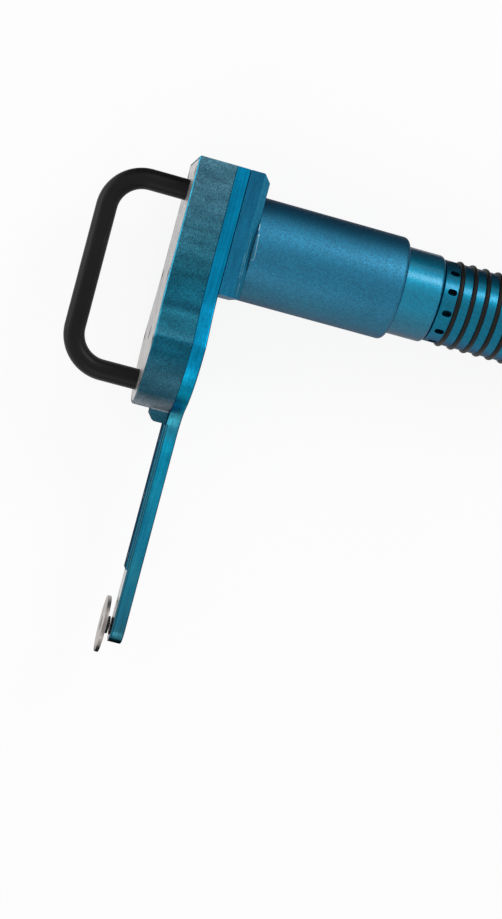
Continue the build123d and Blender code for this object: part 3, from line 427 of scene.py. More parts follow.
# Flange's rear slope: the same dye, duller, with broken lines of bare metal where it has been knocked, and
# darker towards its lower end, a painted shade for the shadow where it meets the barrel
SLOPE = Anodised("anodised_aluminium_scuffed_slope", "#2283A6", 0.5, deep="#186C8E", grain=0.2, coat=0.15,
                 metallic=0.5, bare="#6AACC4", fades=((-6.0, -20.0, "#1B6E8A"),),
                 scuffs=(Scuff((-38.9, 6.0), (-38.3, -24.2)), Scuff((-39.6, -4.0), (-39.3, -16.0))))
# Barrel: fine bead blast under the dye, which spreads the light into one broad soft band; greyer low down, a
# painted reflection of pale surroundings
BARREL = Anodised("anodised_aluminium_beaded_barrel", "#1C7A9E", 0.5, deep="#166484", grain_mm=0.4, grain=0.3,
                  fades=((-8.0, -22.0, "#2E758E"),),
                  scuffs=(Scuff((-36.3, 10.9), (-36.2, 7.5), broken=(0.1, 0.3)),
                          Scuff((-35.7, 6.3), (-35.0, -5.8), broken=(0.2, 0.6)),
                          Scuff((-35.0, -5.9), (-36.4, -6.2))))
# Front end of the barrel: faced after the dye, so it is bare
BARREL_END = BareMetal("aluminium_faced_end", "#C9D6DC", 0.5, contrast=0.05)
# Rear housing: turned smooth, dyed nearer to cyan and sealed, so the band is narrow and pale; greyer low
# down, a painted reflection of pale surroundings
REAR = Anodised("anodised_aluminium_turned_rear", "#008AAC", 0.44, deep="#047294", grain=0.16, coat=0.62,
                coat_roughness=0.2, fades=((-6.0, -17.0, "#2A6C82"),))
# Throttle sleeve: turned smooth like the rear housing, in a deeper shade
SLEEVE = Anodised("anodised_aluminium_turned_sleeve", "#007694", 0.38, deep="#04607E", grain=0.16, coat=0.3,
                  coat_roughness=0.18)
# Front plate: bare aluminium, ground flat, pale and satin
PLATE = BareMetal("aluminium_ground_plate", "#DEDBDA", 0.38, rings=False, pitch_mm=0.9, contrast=0.06)
# Belt cover: bright sheet steel, rolled along the arm
COVER = BareMetal("sheet_steel_rolled_cover", "#CFCFD1", 0.3, rings=False, pitch_mm=0.7, contrast=0.08)
# Front edge of the belt cover's sides: sheared, in a near-black teal that is painted shade, as if the edge
# sat back under the arm cover
COVER_SIDE = Coated("sheet_steel_sheared_edge", "#0E3442", 0.5, rubbed="#1A4656", rub_mm=4.0, specular=0.25)
# Rest of the belt cover's sides: ground flush with the arm, under a blue-grey film that dulls to the tip
COVER_FLUSH = Anodised("sheet_steel_filmed_side", "#3C92AC", 0.3, deep="#2C7892", cloud_mm=9.0, grain=0.12,
                       marks=Axis.ALONG_Y, marks_mm=1.1, coat=0.06, fades=((-102.0, -190.0, "#347486"),))
# Disc: steel ground on its face, with fine rings about the spindle
DISC = BareMetal("steel_ground_disc", "#C6BEBB", 0.36, centre_mm=DISC_CENTRE_MM, pitch_mm=0.7, grime=0.35)
# Disc's rim: turned, in a darker steel that is a painted dark reflection of dark surroundings
DISC_RIM_DARK_REFLECTION = BareMetal("steel_turned_rim_painted_dark_reflection", "#A09996", 0.26, centre_mm=DISC_CENTRE_MM, pitch_mm=0.5, grime=0.5)
# Inlet cap: steel turned about the motor axis
INLET = BareMetal("steel_turned_inlet", "#A9ABAF", 0.28, pitch_mm=0.6)
# Ground steel of shafts and gears
INNER = BareMetal("steel_ground_inner", "#A6A8AC", 0.3, pitch_mm=0.9)
# Polished bearing steel
BEARING = BareMetal("bearing_steel_polished", "#C4C6CA", 0.15, pitch_mm=1.2, contrast=0.05, grime=0.08)
# Bronze pressed from powder, slightly porous
BRONZE = BareMetal("bronze_sintered", "#B08A50", 0.42, pitch_mm=0.5, contrast=0.15)
# Handle: black coat on a bent bar, satin, a little rubbed
HANDLE = Coated("aluminium_black_coated_handle", "#060607", 0.42, rubbed="#0D0D0E", grain_mm=0.5,
                specular=0.22)
# Thin arm cover: blackened sheet steel, which keeps a dark teal hue at a flat angle
ARM_COVER = Anodised("sheet_steel_blackened_cover", "#1E566C", 0.5, deep="#103C4C", cloud_mm=8.0, grain=0.2,
                     coat=0.0, grazing="#44788A")
# Side edges of the arm cover: steel under a thin teal film
ARM_COVER_SIDE = Anodised("sheet_steel_teal_side", "#2E7F99", 0.4, deep="#1A566E", cloud_mm=5.0, grain=0.25,
                          coat=0.1)
# Screws: blackened steel, oily and half gloss
SCREW = Coated("steel_blackened_screws", "#1B1B1D", 0.34, rubbed="#3A3A3D", metallic=0.8, rub_mm=3.0)
# Hub: blackened steel, satin
HUB = Coated("steel_blackened_hub", "#141416", 0.36, metallic=0.7, rub_mm=4.0)
# Grip rings: black rubber with a soft sheen
RING = Coated("rubber_moulded_rings", "#050506", 0.45, rubbed="#0C0C0D", grain_mm=0.8, specular=0.25)
# Belt: black rubber with a cloth back
BELT = Coated("rubber_moulded_belt", "#101011", 0.65, rubbed="#1C1C1D")
# Vanes: brown phenolic composite, cut from laminate
VANE = Coated("phenolic_composite_vanes", "#5B3B22", 0.5, rubbed="#724B2C", rub_mm=2.0)
# Silencer: pressed grey felt
FELT = Coated("felt_pressed_silencer", "#8F8B84", 0.95, rubbed="#A39F97", grain_mm=1.0, relief_mm=0.2)


class Palette:
    """Makes each finish's material once."""

    def __init__(self) -> None:
        """Start with no materials made."""
        self.made: dict[str, bpy.types.Material] = {}

    def __call__(self, finish: Finish) -> bpy.types.Material:
        """Return the finish's material.

        Args:
            finish: Finish of a piece.

        Returns:
            The material, made at the first call.
        """
        if finish.name not in self.made:
            self.made[finish.name] = finish.material()
        return self.made[finish.name]


palette = Palette()


def new_object(name: str, data: bpy.types.ID) -> bpy.types.Object:
    """Put a mesh, a light or a camera into the scene at the origin.

    Args:
        name: Name of the object.
        data: Its data; a mesh has its place in its vertices.

    Returns:
        The new object.
    """
    obj = bpy.data.objects.new(name, data)
    bpy.context.scene.collection.objects.link(obj)
    return obj


def plain_mesh(obj: bpy.types.Object) -> None:
    """Replace an object's mesh by its evaluated one and drop its modifiers.

    Args:
        obj: Object with modifiers.
    """
    graph = bpy.context.evaluated_depsgraph_get()
    mesh = bpy.data.meshes.new_from_object(obj.evaluated_get(graph), depsgraph=graph)
    obj.modifiers.clear()
    obj.data = mesh


def smooth(obj: bpy.types.Object, angle: float = 32.0) -> None:
    """Shade an object smooth between its sharp edges, weighted by face size.

    Args:
        obj: Mesh object.
        angle: Least angle of a sharp edge, in degrees.
    """
    obj.data.shade_smooth()
    obj.data.set_sharp_from_angle(angle=radians(angle))
    weighted = obj.modifiers.new("weighted", "WEIGHTED_NORMAL")
    weighted.keep_sharp = True
    plain_mesh(obj)


def merged(node: str) -> bmesh.types.BMesh:
    """Load a CAD node's loose triangles and merge their points.

    Args:
        node: CAD node.

    Returns:
        The mesh, which the caller frees.
    """
    shape = bmesh.new()
    shape.from_mesh(frame["nodes"][node].data)
    bmesh.ops.remove_doubles(shape, verts=shape.verts, dist=MERGE_MM * MM)
    return shape


def connected(items: Iterable[Any], near: Callable[[Any], Iterable[Any]]) -> list[list[Any]]:
    """Sort the items of one mesh into groups that hang together.

    Args:
        items: Edges or points.
        near: Gives the neighbours of an item.

    Returns:
        One list for each group.
    """
    left = set(items)
    groups = []
    while left:
        group = []
        queue = [left.pop()]
        while queue:
            item = queue.pop()
            group.append(item)
            found = set(near(item)) & left
            left -= found
            queue.extend(found)
        groups.append(group)
    return groups


def box_around(points: list[Vector]) -> tuple[Vector, Vector]:
    """Return the lowest and the highest corner of the box around some points."""
    return tuple(Vector([pick(p[i] for p in points) for i in range(3)]) for pick in (min, max))


def sharp_edges(shape: bmesh.types.BMesh, least_mm: float) -> list[bmesh.types.BMEdge]:
    """Collect the sharp edges of the outlines that are large enough to be rounded.

    Args:
        shape: Merged mesh.
        least_mm: Smallest outline, by the largest side of its box.

    Returns:
        The edges.
    """
    limit = radians(SHARP_DEGREES)
    sharp = [e for e in shape.edges if len(e.link_faces) == 2 and e.calc_face_angle() > limit]
    found = []
    for outline in connected(sharp, lambda edge: [e for v in edge.verts for e in v.link_edges]):
        box = box_around([v.co for e in outline for v in e.verts])
        if max(high - low for low, high in zip(*box)) > least_mm * MM:
            found.extend(outline)
    return found


@dataclass(frozen=True)
class Patch:
    """Faces that take another of a piece's finishes, by their place and by their lean.

    A side wall has a lean of 0, and a face that looks to the front or the rear has a lean of 1.
    """

    lean: tuple[float, float] = (0.3, 0.95)
    x_mm: tuple[float, float] = (-500.0, 500.0)
    y_mm: tuple[float, float] = (-500.0, 500.0)

    def cut(self, shape: bmesh.types.BMesh) -> None:
        """Split the faces that cross the patch's limits in Y, and those that cross its front in X.

        Args:
            shape: Mesh of the piece.
        """
        planes = [((0.0, y * MM, 0.0), (0.0, 1.0, 0.0)) for y in self.y_mm]
        planes.append(((self.x_mm[0] * MM, 0.0, 0.0), (1.0, 0.0, 0.0)))
        for place, normal in planes:
            bmesh.ops.bisect_plane(shape, geom=[*shape.verts, *shape.edges, *shape.faces], plane_co=place,
                                   plane_no=normal)

    def holds(self, face: bmesh.types.BMFace) -> bool:
        """Say whether a face belongs to the patch.

        Args:
            face: Face of the piece.

        Returns:
            True for a face within all limits.
        """
        place = face.calc_center_median() / MM
        inside = self.x_mm[0] < place.x < self.x_mm[1] and self.y_mm[0] < place.y < self.y_mm[1]
        return inside and self.lean[0] <= abs(face.normal.x) <= self.lean[1]


def clean_copy(node: str, name: str, edge_mm: float, least_mm: float = 9.0,
               patches: tuple[Patch, ...] = ()) -> bpy.types.Object:
    """Copy a CAD node as one clean mesh with rounded edges.

    Args:
        node: CAD node.
        name: Name of the piece.
        edge_mm: Width of the edge rounding.
        least_mm: Smallest outline whose edges are rounded, so that screw holes stay sharp.
        patches: Faces that take the second material, the third and so on.

    Returns:
        The new object.
    """
    shape = merged(node)
    bmesh.ops.dissolve_limit(shape, angle_limit=radians(FLAT_DEGREES), verts=shape.verts, edges=shape.edges)
    edges = sharp_edges(shape, least_mm)
    if edges:
        bmesh.ops.bevel(shape, geom=edges, offset=edge_mm * MM, offset_type="OFFSET", segments=ROUNDING_STEPS,
                        profile=0.5, affect="EDGES", clamp_overlap=True)
    for patch in patches:
        patch.cut(shape)
    shape.normal_update()
    for face in shape.faces:
        face.material_index = next((i for i, patch in enumerate(patches, 1) if patch.holds(face)), 0)
    mesh = bpy.data.meshes.new(name)
    shape.to_mesh(mesh)
    shape.free()
    obj = new_object(name, mesh)
    smooth(obj)
    return obj


def settle(obj: bpy.types.Object, body: str, slot: str, node: str, *finishes: Finish) -> None:
    """Dress a finished piece, hang it on the body that carries it, and hide the CAD node that it stands for.

    Args:
        obj: Finished piece.
        body: CAD body that carries it.
        slot: Material slot of the record; not used.
        node: CAD node that it stands for.
        finishes: Finishes, in the order of its material slots.
    """
    for finish in finishes:
        obj.data.materials.append(palette(finish))
    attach(obj, body)
    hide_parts(node)
    log.info("%s: %d faces on %s", obj.name, len(obj.data.polygons), body)


class NodeTree:
    """Geometry tree with named inputs, whose result becomes a plain mesh."""

    def __init__(self, name: str, sizes: dict[str, float | int]) -> None:
        """Start a tree.

        Args:
            name: Name of the tree.
            sizes: Named inputs with their values; whole numbers become counts.
        """
        self.tree = bpy.data.node_groups.new(name, "GeometryNodeTree")
        self.sizes = sizes
        face = self.tree.interface
        face.new_socket("Geometry", in_out="INPUT", socket_type="NodeSocketGeometry")
        for key, value in sizes.items():
            kind = "NodeSocketInt" if isinstance(value, int) else "NodeSocketFloat"
            face.new_socket(key, in_out="INPUT", socket_type=kind)
        face.new_socket("Geometry", in_out="OUTPUT", socket_type="NodeSocketGeometry")
        self.start = add_node(self.tree, "NodeGroupInput").outputs

    def add(self, kind: str, inputs: dict[Any, Any] | None = None, **settings: Any) -> bpy.types.Node:
        """Add a node to the tree."""
        return add_node(self.tree, kind, inputs, **settings)

    def result(self, shape: bpy.types.NodeSocket, name: str, points: bpy.types.Mesh,
               finish: Finish) -> bpy.types.Object:
        """Close the tree and turn it into a plain mesh object.

        Args:
            shape: Last geometry socket.
            name: Name of the piece.
            points: Mesh given to the tree.
            finish: Finish that the tree sets.

        Returns:
            The new object, without modifiers.
        """
        real = self.add("GeometryNodeRealizeInstances", {"Geometry": shape})
        dressed = self.add("GeometryNodeSetMaterial",
                           {"Geometry": real.outputs[0], "Material": palette(finish)})
        self.add("NodeGroupOutput", {0: dressed.outputs[0]})
        obj = new_object(name, points)
        modifier = obj.modifiers.new(self.tree.name, "NODES")
        modifier.node_group = self.tree
        for socket in self.tree.interface.items_tree:
            if socket.in_out == "INPUT" and socket.name in self.sizes:
                modifier[socket.identifier] = self.sizes[socket.name]
        plain_mesh(obj)
        return obj


def point_mesh(name: str, places: Iterable[tuple[float, float, float]]) -> bpy.types.Mesh:
    """Make a mesh of loose points.

    Args:
        name: Name of the mesh.
        places: Points in metres.

    Returns:
        The mesh.
    """
    mesh = bpy.data.meshes.new(name)
    mesh.from_pydata(list(places), [], [])
    return mesh


def node_islands(node: str) -> list[tuple[Vector, Vector]]:
    """Find the boxes of a CAD node's separate solids.

    Args:
        node: CAD node.

    Returns:
        Lowest and highest corner of each solid.
    """
    shape = merged(node)
    solids = connected(shape.verts, lambda vert: [e.other_vert(vert) for e in vert.link_edges])
    boxes = [box_around([v.co for v in solid]) for solid in solids]
    shape.free()
    return boxes


@dataclass
class ScrewGroup:
    """Screws of one node with their heads to the front, set on the CAD places by one tree.

    The shares and depths are parts of the head's radius.
    """

    node: str
    name: str
    cone_share: float = 0.55
    cone_depth: float = 0.5
    shank_share: float = 0.5
    socket_share: float = 0.5
    socket_depth: float = 0.45
    sunk_mm: float = 0.08
    head_sides: int = 40
    shank_sides: int = 24
    socket_sides: int = 6

    def build(self) -> bpy.types.Object:
        """Build all screws of the group.

        Returns:
            One mesh object with every screw.
        """
        boxes = node_islands(self.node)
        low, high = boxes[0]
        head = (high.y - low.y) / 2
        sunk = self.sunk_mm * MM
        places = [(lo.x + sunk, (lo.y + hi.y) / 2, (lo.z + hi.z) / 2) for lo, hi in boxes]
        tree = NodeTree(self.name + "_tree", {
            "Head Radius": head, "Head Sides": self.head_sides, "Cone Radius": head * self.cone_share,
            "Cone Depth": head * self.cone_depth, "Shank Radius": head * self.shank_share,
            "Shank Sides": self.shank_sides, "Length": high.x - low.x,
            "Socket Radius": head * self.socket_share, "Socket Depth": head * self.socket_depth,
            "Socket Sides": self.socket_sides})
        size = tree.start
        top = tree.add("GeometryNodeMeshCone",
                       {"Vertices": size["Head Sides"], "Radius Top": size["Cone Radius"],
                        "Radius Bottom": size["Head Radius"], "Depth": size["Cone Depth"]})
        shank = tree.add("GeometryNodeMeshCylinder",
                         {"Vertices": size["Shank Sides"], "Radius": size["Shank Radius"],
                          "Depth": size["Length"]})
        half = tree.add("ShaderNodeMath", {0: size["Length"], 1: 0.5}, operation="MULTIPLY")
        drop = tree.add("ShaderNodeCombineXYZ", {"Z": half.outputs[0]})
        lower = tree.add("GeometryNodeTransform",
                         {"Geometry": shank.outputs["Mesh"], "Translation": drop.outputs[0]})
        both = tree.add("GeometryNodeMeshBoolean", {1: top.outputs["Mesh"]}, operation="UNION",
                        solver="EXACT")
        tree.tree.links.new(lower.outputs[0], both.inputs[1])
        hexagon = tree.add("GeometryNodeMeshCylinder",
                           {"Vertices": size["Socket Sides"], "Radius": size["Socket Radius"],
                            "Depth": size["Socket Depth"]})
        bored = tree.add("GeometryNodeMeshBoolean", {0: both.outputs[0], 1: hexagon.outputs["Mesh"]},
                         operation="DIFFERENCE", solver="EXACT")
        turn = tree.add("GeometryNodeTransform",
                        {"Geometry": bored.outputs[0], "Rotation": (0.0, pi / 2, 0.0)})
        placed = tree.add("GeometryNodeInstanceOnPoints",
                          {"Points": size["Geometry"], "Instance": turn.outputs[0]})
        obj = tree.result(placed.outputs[0], self.name, point_mesh(self.name, places), SCREW)
        smooth(obj)
        return obj


@dataclass
class GearHead:
    """Gear case with its front plate, screws and plug."""

    case_edge_mm: float = 0.22
    plate_edge_mm: float = 0.3
    plug_edge_mm: float = 0.12
    # Chamfer of the case's front edge down to the crease, which takes the painted highlight
    rim: Patch = Patch(x_mm=(-72.0, -70.0), y_mm=(-51.0, 34.0))

    def build(self) -> None:
        """Build the head's outer pieces."""
        case = clean_copy("gear_case", "case_shell", self.case_edge_mm, patches=(self.rim,))
        settle(case, "machine", "case_finish", "gear_case", CASE, CASE_RIM_HIGHLIGHT)
        plate = clean_copy("front_plate", "front_cover_plate", self.plate_edge_mm, least_mm=20.0)
        settle(plate, "machine", "plate_finish", "front_plate", PLATE)
        plug = clean_copy("bearing_plug", "bearing_cover_plug", self.plug_edge_mm, least_mm=3.0)
        settle(plug, "machine", "screw_finish", "bearing_plug", SCREW)
        screws = ScrewGroup("front_plate_screws", "plate_screw_set").build()
        settle(screws, "machine", "screw_finish", "front_plate_screws")


@dataclass
class BowHandle:
    """Round bar bent into a bow, swept by a tree along a rounded path."""

    bend_mm: float = 17.0
    bend_steps: int = 24
    bar_steps: int = 48

    def build(self) -> None:
        """Sweep the bar and settle it."""
        low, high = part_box("bow_handle")
        bar = (high.z - low.z) / 2
        outer = low.x + bar
        upper, lower = high.y - bar, low.y + bar
        tree = NodeTree("bow_handle_tree", {"Bar Radius": bar, "Bar Steps": self.bar_steps,
                                            "Bend Radius": self.bend_mm * MM, "Bend Steps": self.bend_steps})
        size = tree.start
        path = tree.add("GeometryNodeMeshToCurve", {"Mesh": size["Geometry"]})
        bent = tree.add("GeometryNodeFilletCurve",
                        {"Curve": path.outputs[0], "Radius": size["Bend Radius"],
                         "Count": size["Bend Steps"]}, mode="POLY")
        ring = tree.add("GeometryNodeCurvePrimitiveCircle",
                        {"Resolution": size["Bar Steps"], "Radius": size["Bar Radius"]})
        swept = tree.add("GeometryNodeCurveToMesh",
                         {"Curve": bent.outputs[0], "Profile Curve": ring.outputs[0], "Fill Caps": True})
        corners = [(high.x, upper, 0), (outer, upper, 0), (outer, lower, 0), (high.x, lower, 0)]
        line = bpy.data.meshes.new("handle_path")
        line.from_pydata(corners, [(0, 1), (1, 2), (2, 3)], [])
        obj = tree.result(swept.outputs[0], "handle_bar", line, HANDLE)
        smooth(obj)
        settle(obj, "machine", "handle_finish", "bow_handle")


@dataclass
class Arm:
    """Arm plate with the belt cover, the thin arm cover and their screws."""

    plate_edge_mm: float = 0.25
    sheet_edge_mm: float = 0.12
    # Chamfers of the arm plate, which take the painted shade of the seams
    edges: Patch = Patch()
    faces: Patch = Patch(lean=(0.95, 1.0))
    sides: Patch = Patch(lean=(0.0, 0.95))
    flush: Patch = Patch(lean=(0.0, 0.95), x_mm=(-52.95, 500.0))

    def build(self) -> None:
        """Build the arm's outer pieces."""
        plate = clean_copy("arm_frame", "arm_plate", self.plate_edge_mm, least_mm=14.0,
                           patches=(self.edges, self.faces))
        settle(plate, "machine", "arm_finish", "arm_frame", ARM, SEAM_OIL_AND_SHADE, ARM_FACE)
        sheet = clean_copy("belt_cover", "belt_cover_sheet", self.sheet_edge_mm, least_mm=12.0,
                           patches=(self.flush, self.sides))
        settle(sheet, "machine", "cover_finish", "belt_cover", COVER, COVER_FLUSH, COVER_SIDE)
        cover = clean_copy("arm_cover", "arm_cover_sheet", self.sheet_edge_mm, least_mm=12.0,
                           patches=(self.sides,))
        settle(cover, "machine", "arm_cover_finish", "arm_cover", ARM_COVER, ARM_COVER_SIDE)
        screws = ScrewGroup("cover_screws", "cover_screw_set").build()
        settle(screws, "machine", "screw_finish", "cover_screws")


@dataclass
class Motor:
    """Motor flange, barrel and rear housing."""

    flange_edge_mm: float = 0.3
    barrel_edge_mm: float = 0.25
    rear_edge_mm: float = 0.3
    slope: Patch = Patch(x_mm=(-41.0, -36.0))
    end: Patch = Patch(lean=(0.95, 1.0), x_mm=(-37.0, -36.0))

    def build(self) -> None:
        """Build the motor's outer pieces."""
        flange = clean_copy("motor_flange", "flange_block", self.flange_edge_mm, least_mm=12.0,
                            patches=(self.slope,))
        settle(flange, "machine", "flange_finish", "motor_flange", FLANGE, SLOPE)
        barrel = clean_copy("motor_barrel", "barrel_tube", self.barrel_edge_mm, least_mm=12.0,
                            patches=(self.end,))
        settle(barrel, "machine", "barrel_finish", "motor_barrel", BARREL, BARREL_END)
        rear = clean_copy("rear_housing", "rear_body", self.rear_edge_mm, least_mm=12.0)
        settle(rear, "machine", "rear_finish", "rear_housing", REAR)


@dataclass
class Throttle:
    """Throttle sleeve with exhaust slots, and the grip rings in its grooves."""

    sleeve_edge_mm: float = 0.15
    cord_mm: float = 2.4
    ring_steps: int = 96
    cord_steps: int = 20
    ring_angle: float = 80.0

    def build(self) -> None:
        """Build the sleeve and the rings."""
        sleeve = clean_copy("throttle_sleeve", "sleeve_grip", self.sleeve_edge_mm, least_mm=12.0)
        settle(sleeve, "throttle", "rear_finish", "throttle_sleeve", SLEEVE)
        self.build_rings()

    def build_rings(self) -> None:
        """Set one rubber ring in each groove."""
        boxes = sorted(node_islands("grip_o_rings"), key=lambda b: b[0].x)
        low, high = boxes[0]
        orbit = (high.y - low.y) / 2 - self.cord_mm * MM / 2
        places = [((lo.x + hi.x) / 2, (lo.y + hi.y) / 2, (lo.z + hi.z) / 2) for lo, hi in boxes]
        tree = NodeTree("grip_ring_tree", {"Ring Radius": orbit, "Cord Radius": self.cord_mm * MM / 2,
                                           "Ring Steps": self.ring_steps, "Cord Steps": self.cord_steps})
        size = tree.start
        path = tree.add("GeometryNodeCurvePrimitiveCircle",
                        {"Resolution": size["Ring Steps"], "Radius": size["Ring Radius"]})
        cord = tree.add("GeometryNodeCurvePrimitiveCircle",
                        {"Resolution": size["Cord Steps"], "Radius": size["Cord Radius"]})
        ring = tree.add("GeometryNodeCurveToMesh",
                        {"Curve": path.outputs[0], "Profile Curve": cord.outputs[0]})
        turned = tree.add("GeometryNodeTransform",
                          {"Geometry": ring.outputs[0], "Rotation": (0.0, pi / 2, 0.0)})
        placed = tree.add("GeometryNodeInstanceOnPoints",
                          {"Points": size["Geometry"], "Instance": turned.outputs[0]})
        obj = tree.result(placed.outputs[0], "grip_ring_set", point_mesh("ring_places", places), RING)
        smooth(obj, self.ring_angle)
        settle(obj, "throttle", "ring_rubber", "grip_o_rings")


@dataclass
class Inlet:
    """Inlet cap with its hexagon and air port."""

    edge_mm: float = 0.3

    def build(self) -> None:
        """Build the cap."""
        cap = clean_copy("inlet_cap", "inlet_cap_body", self.edge_mm, least_mm=8.0)
        settle(cap, "machine", "inlet_finish", "inlet_cap", INLET)


@dataclass
class GrindingDisc:
    """Grinding disc, its hub and the spindle's front bush."""

    disc_edge_mm: float = 0.2
    hub_edge_mm: float = 0.2
    bush_edge_mm: float = 0.1
    # Rim faces of the disc, which take the painted dark reflection
    rim: Patch = Patch(lean=(0.0, 0.5))

    def build(self) -> None:
        """Build the disc's pieces."""
        disc = clean_copy("grinding_disc", "disc_plate", self.disc_edge_mm, least_mm=5.0,
                          patches=(self.rim,))
        settle(disc, "disc", "disc_finish", "grinding_disc", DISC, DISC_RIM_DARK_REFLECTION)
        hub = clean_copy("disc_hub", "disc_hub_boss", self.hub_edge_mm, least_mm=5.6)
        settle(hub, "disc", "hub_finish", "disc_hub", HUB)
        bush = clean_copy("spindle_front_bush", "spindle_bush_flange", self.bush_edge_mm, least_mm=5.0)
        settle(bush, "machine", "hub_finish", "spindle_front_bush", HUB)


@dataclass
class InnerWorks:
    """Inner pieces, which keep their CAD meshes and get their finishes."""

    by_slot: dict[str, Finish] = field(default_factory=lambda: {
        "screw_finish": SCREW, "belt_rubber": BELT, "inner_steel": INNER, "bearing_steel": BEARING,
        "bush_bronze": BRONZE, "vane_composite": VANE, "silencer_felt": FELT})

    def dress(self) -> None:
        """Give each CAD node that still shows its material."""
        for row in frame["record"]["subparts"]:
            obj = frame["nodes"][row["node"]]
            if not obj.hide_render:
                obj.data.materials.clear()
                obj.data.materials.append(palette(self.by_slot[row["material_slot"]]))
                log.info("%s keeps its CAD mesh", obj.name)


@dataclass(frozen=True)
class Lamp:
    """One softbox: its middle and its size in metres, and its brightness, where a lit white sheet has one."""

    name: str
    place: tuple[float, float, float]
    size: tuple[float, float]
    level: float


@dataclass(frozen=True)
class Card:
    """One dull sheet that only mirrors in the metal, a painted dark reflection: its ends in X, its lower and
    upper edge in Y and Z.
    """

    name: str
    colour: str
    x_mm: tuple[float, float]
    low_mm: tuple[float, float]
    high_mm: tuple[float, float]
    roughness: float = 0.9


def camera_rays(tree: bpy.types.NodeTree, path: bpy.types.Node) -> bpy.types.NodeSocket:
    """Add a node that is one on the rays that the camera sends, straight or through glass.

    Args:
        tree: Shader tree.
        path: Its Light Path node.

    Returns:
        The node's result.
    """
    rays = {0: path.outputs["Is Camera Ray"], 1: path.outputs["Is Transmission Ray"]}
    return add_node(tree, "ShaderNodeMath", rays, operation="MAXIMUM").outputs[0]


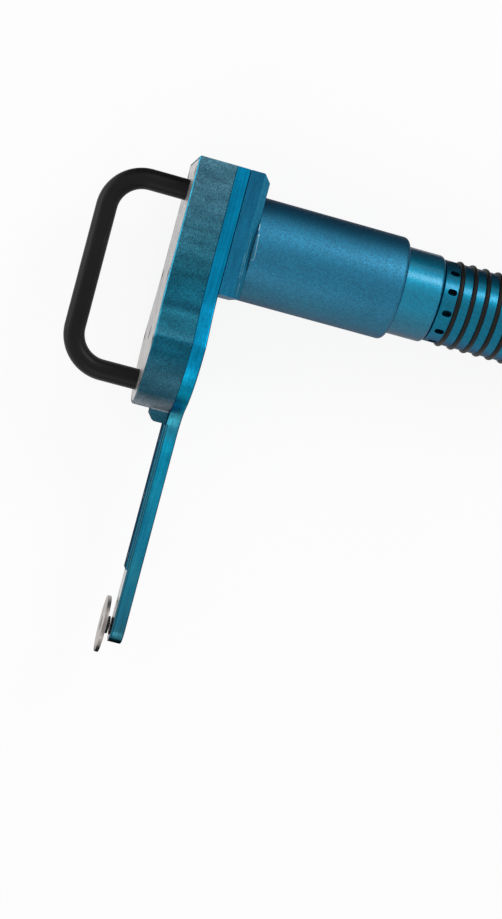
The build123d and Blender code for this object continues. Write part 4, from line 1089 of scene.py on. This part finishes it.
@dataclass
class Studio:
    """Floor, lamps, cards, world and camera."""

    camera_place_mm: tuple[float, float, float] = (-125.76, -52.26, 847.14)
    camera_tilt: tuple[float, float, float] = (0.085, 0.119, -0.264)
    focal_pixels: float = 1800.0
    sensor_mm: float = 36.0
    floor_size: float = 6.0
    paper: str = "#F4F4F4"
    backdrop_share: float = 0.88
    mirrored_share: float = 0.4
    surround: float = 0.72
    lamps: tuple[Lamp, ...] = (
        Lamp("key_softbox", (0.38, 0.6, 0.66), (0.4, 0.26), 6.4),
        Lamp("side_softbox", (-0.95, 0.05, 0.13), (0.9, 0.32), 2.6),
        Lamp("fill_softbox", (-0.12, -0.7, 0.5), (0.28, 0.4), 1.4))
    # Cards seen only in the metal's reflections, as painted dark reflections: a grey one beside the barrel's
    # +Y side, a dark one past the arm's tip and the disc's lower rim
    cards: tuple[Card, ...] = (
        Card("back_card", "#888B8E", (-130.0, 170.0), (50.0, -34.5), (50.0, 22.0)),
        Card("tip_card", "#1A1A1C", (-85.0, -30.0), (-207.0, -34.0), (-245.0, 8.0)))

    def build(self) -> None:
        """Set up the stage around the object."""
        self.add_floor()
        for card in self.cards:
            self.add_card(card)
        self.add_world()
        for lamp in self.lamps:
            self.add_lamp(lamp)
        self.add_camera()

    def add_floor(self) -> None:
        """Lay a white floor just under the object that keeps its shadow."""
        half = self.floor_size / 2
        z = CAD_BOX[0].z
        corners = [(-half, -half, z), (half, -half, z), (half, half, z), (-half, half, z)]
        floor = self.add_sheet("studio_floor", corners)
        material = bpy.data.materials.new("paper_backdrop_white")
        material.use_nodes = True
        tree = material.node_tree
        tree.nodes.clear()
        path = add_node(tree, "ShaderNodeLightPath")
        seen = add_node(tree, "ShaderNodeMath", {0: camera_rays(tree, path), 1: self.backdrop_share},
                        operation="MULTIPLY")
        share = add_node(tree, "ShaderNodeMath",
                         {0: path.outputs["Is Glossy Ray"], 1: self.mirrored_share, 2: seen.outputs[0]},
                         operation="MULTIPLY_ADD")
        paper = add_node(tree, "ShaderNodeBsdfDiffuse", {"Color": srgb(self.paper)})
        glow = add_node(tree, "ShaderNodeEmission", {"Color": srgb(WHITE), "Strength": 1.0})
        mixed = add_node(tree, "ShaderNodeMixShader",
                         {0: share.outputs[0], 1: paper.outputs[0], 2: glow.outputs[0]})
        add_node(tree, "ShaderNodeOutputMaterial", {"Surface": mixed.outputs[0]})
        floor.data.materials.append(material)

    def add_sheet(self, name: str, corners: list[tuple[float, float, float]]) -> bpy.types.Object:
        """Stand one flat sheet on the stage.

        Args:
            name: Name of the sheet.
            corners: Its four corners, in metres.

        Returns:
            The new object.
        """
        mesh = bpy.data.meshes.new(name)
        mesh.from_pydata(corners, [], [(0, 1, 2, 3)])
        sheet = new_object(name, mesh)
        return sheet

    def add_card(self, card: Card) -> None:
        """Stand one card near the object, out of sight of the camera and without a shadow.

        Args:
            card: The card's place and colour.
        """
        left, right = (x * MM for x in card.x_mm)
        low = [v * MM for v in card.low_mm]
        high = [v * MM for v in card.high_mm]
        sheet = self.add_sheet(card.name, [(left, *low), (right, *low), (right, *high), (left, *high)])
        material = bpy.data.materials.new(card.name + "_matte")
        material.use_nodes = True
        shader = material.node_tree.nodes["Principled BSDF"]
        shader.inputs["Base Color"].default_value = srgb(card.colour)
        shader.inputs["Roughness"].default_value = card.roughness
        sheet.data.materials.append(material)
        sheet.visible_camera = sheet.visible_diffuse = sheet.visible_shadow = False

    def add_world(self) -> None:
        """Give an even surround, which the camera sees as white."""
        world = bpy.data.worlds.new("studio_surround")
        bpy.context.scene.world = world
        world.use_nodes = True
        tree = world.node_tree
        tree.nodes.clear()
        path = add_node(tree, "ShaderNodeLightPath")
        level = add_node(tree, "ShaderNodeMapRange",
                         {"Value": camera_rays(tree, path), "To Min": self.surround, "To Max": 1.0})
        sky = add_node(tree, "ShaderNodeBackground", {"Color": srgb(WHITE), "Strength": level.outputs[0]})
        add_node(tree, "ShaderNodeOutputWorld", {"Surface": sky.outputs[0]})

    def add_lamp(self, lamp: Lamp) -> None:
        """Hang one softbox that faces the object.

        Args:
            lamp: The softbox's place, size and brightness.
        """
        light = bpy.data.lights.new(lamp.name, "AREA")
        light.shape = "RECTANGLE"
        light.size, light.size_y = lamp.size
        light.energy = lamp.level * pi * lamp.size[0] * lamp.size[1]
        obj = new_object(lamp.name, light)
        obj.location = lamp.place
        obj.visible_camera = False
        aim = (CAD_BOX[0] + CAD_BOX[1]) / 2 - Vector(lamp.place)
        obj.rotation_euler = aim.to_track_quat("-Z", "Y").to_euler()

    def add_camera(self) -> None:
        """Stand the camera where the photograph was taken."""
        lens = bpy.data.cameras.new("photo_camera")
        lens.sensor_width = self.sensor_mm
        lens.lens = self.focal_pixels / max(PHOTO_SIZE) * self.sensor_mm
        camera = new_object("photo_camera", lens)
        pitch, yaw, roll = (Matrix.Rotation(a, 4, axis) for a, axis in zip(self.camera_tilt, "XYZ"))
        turn = (pitch @ yaw @ roll).transposed()
        camera.matrix_world = Matrix.Translation(Vector(self.camera_place_mm) * MM) @ turn
        bpy.context.scene.camera = camera


def main() -> None:
    """Build the sub-assemblies in order, then the stage."""
    logging.basicConfig(level=logging.INFO, format="%(message)s")
    for assembly in (GearHead(), BowHandle(), Arm(), Motor(), Throttle(), Inlet(), GrindingDisc()):
        assembly.build()
    InnerWorks().dress()
    Studio().build()
    bpy.context.scene.view_settings.view_transform = "Standard"


if __name__ == "__main__":
    main()
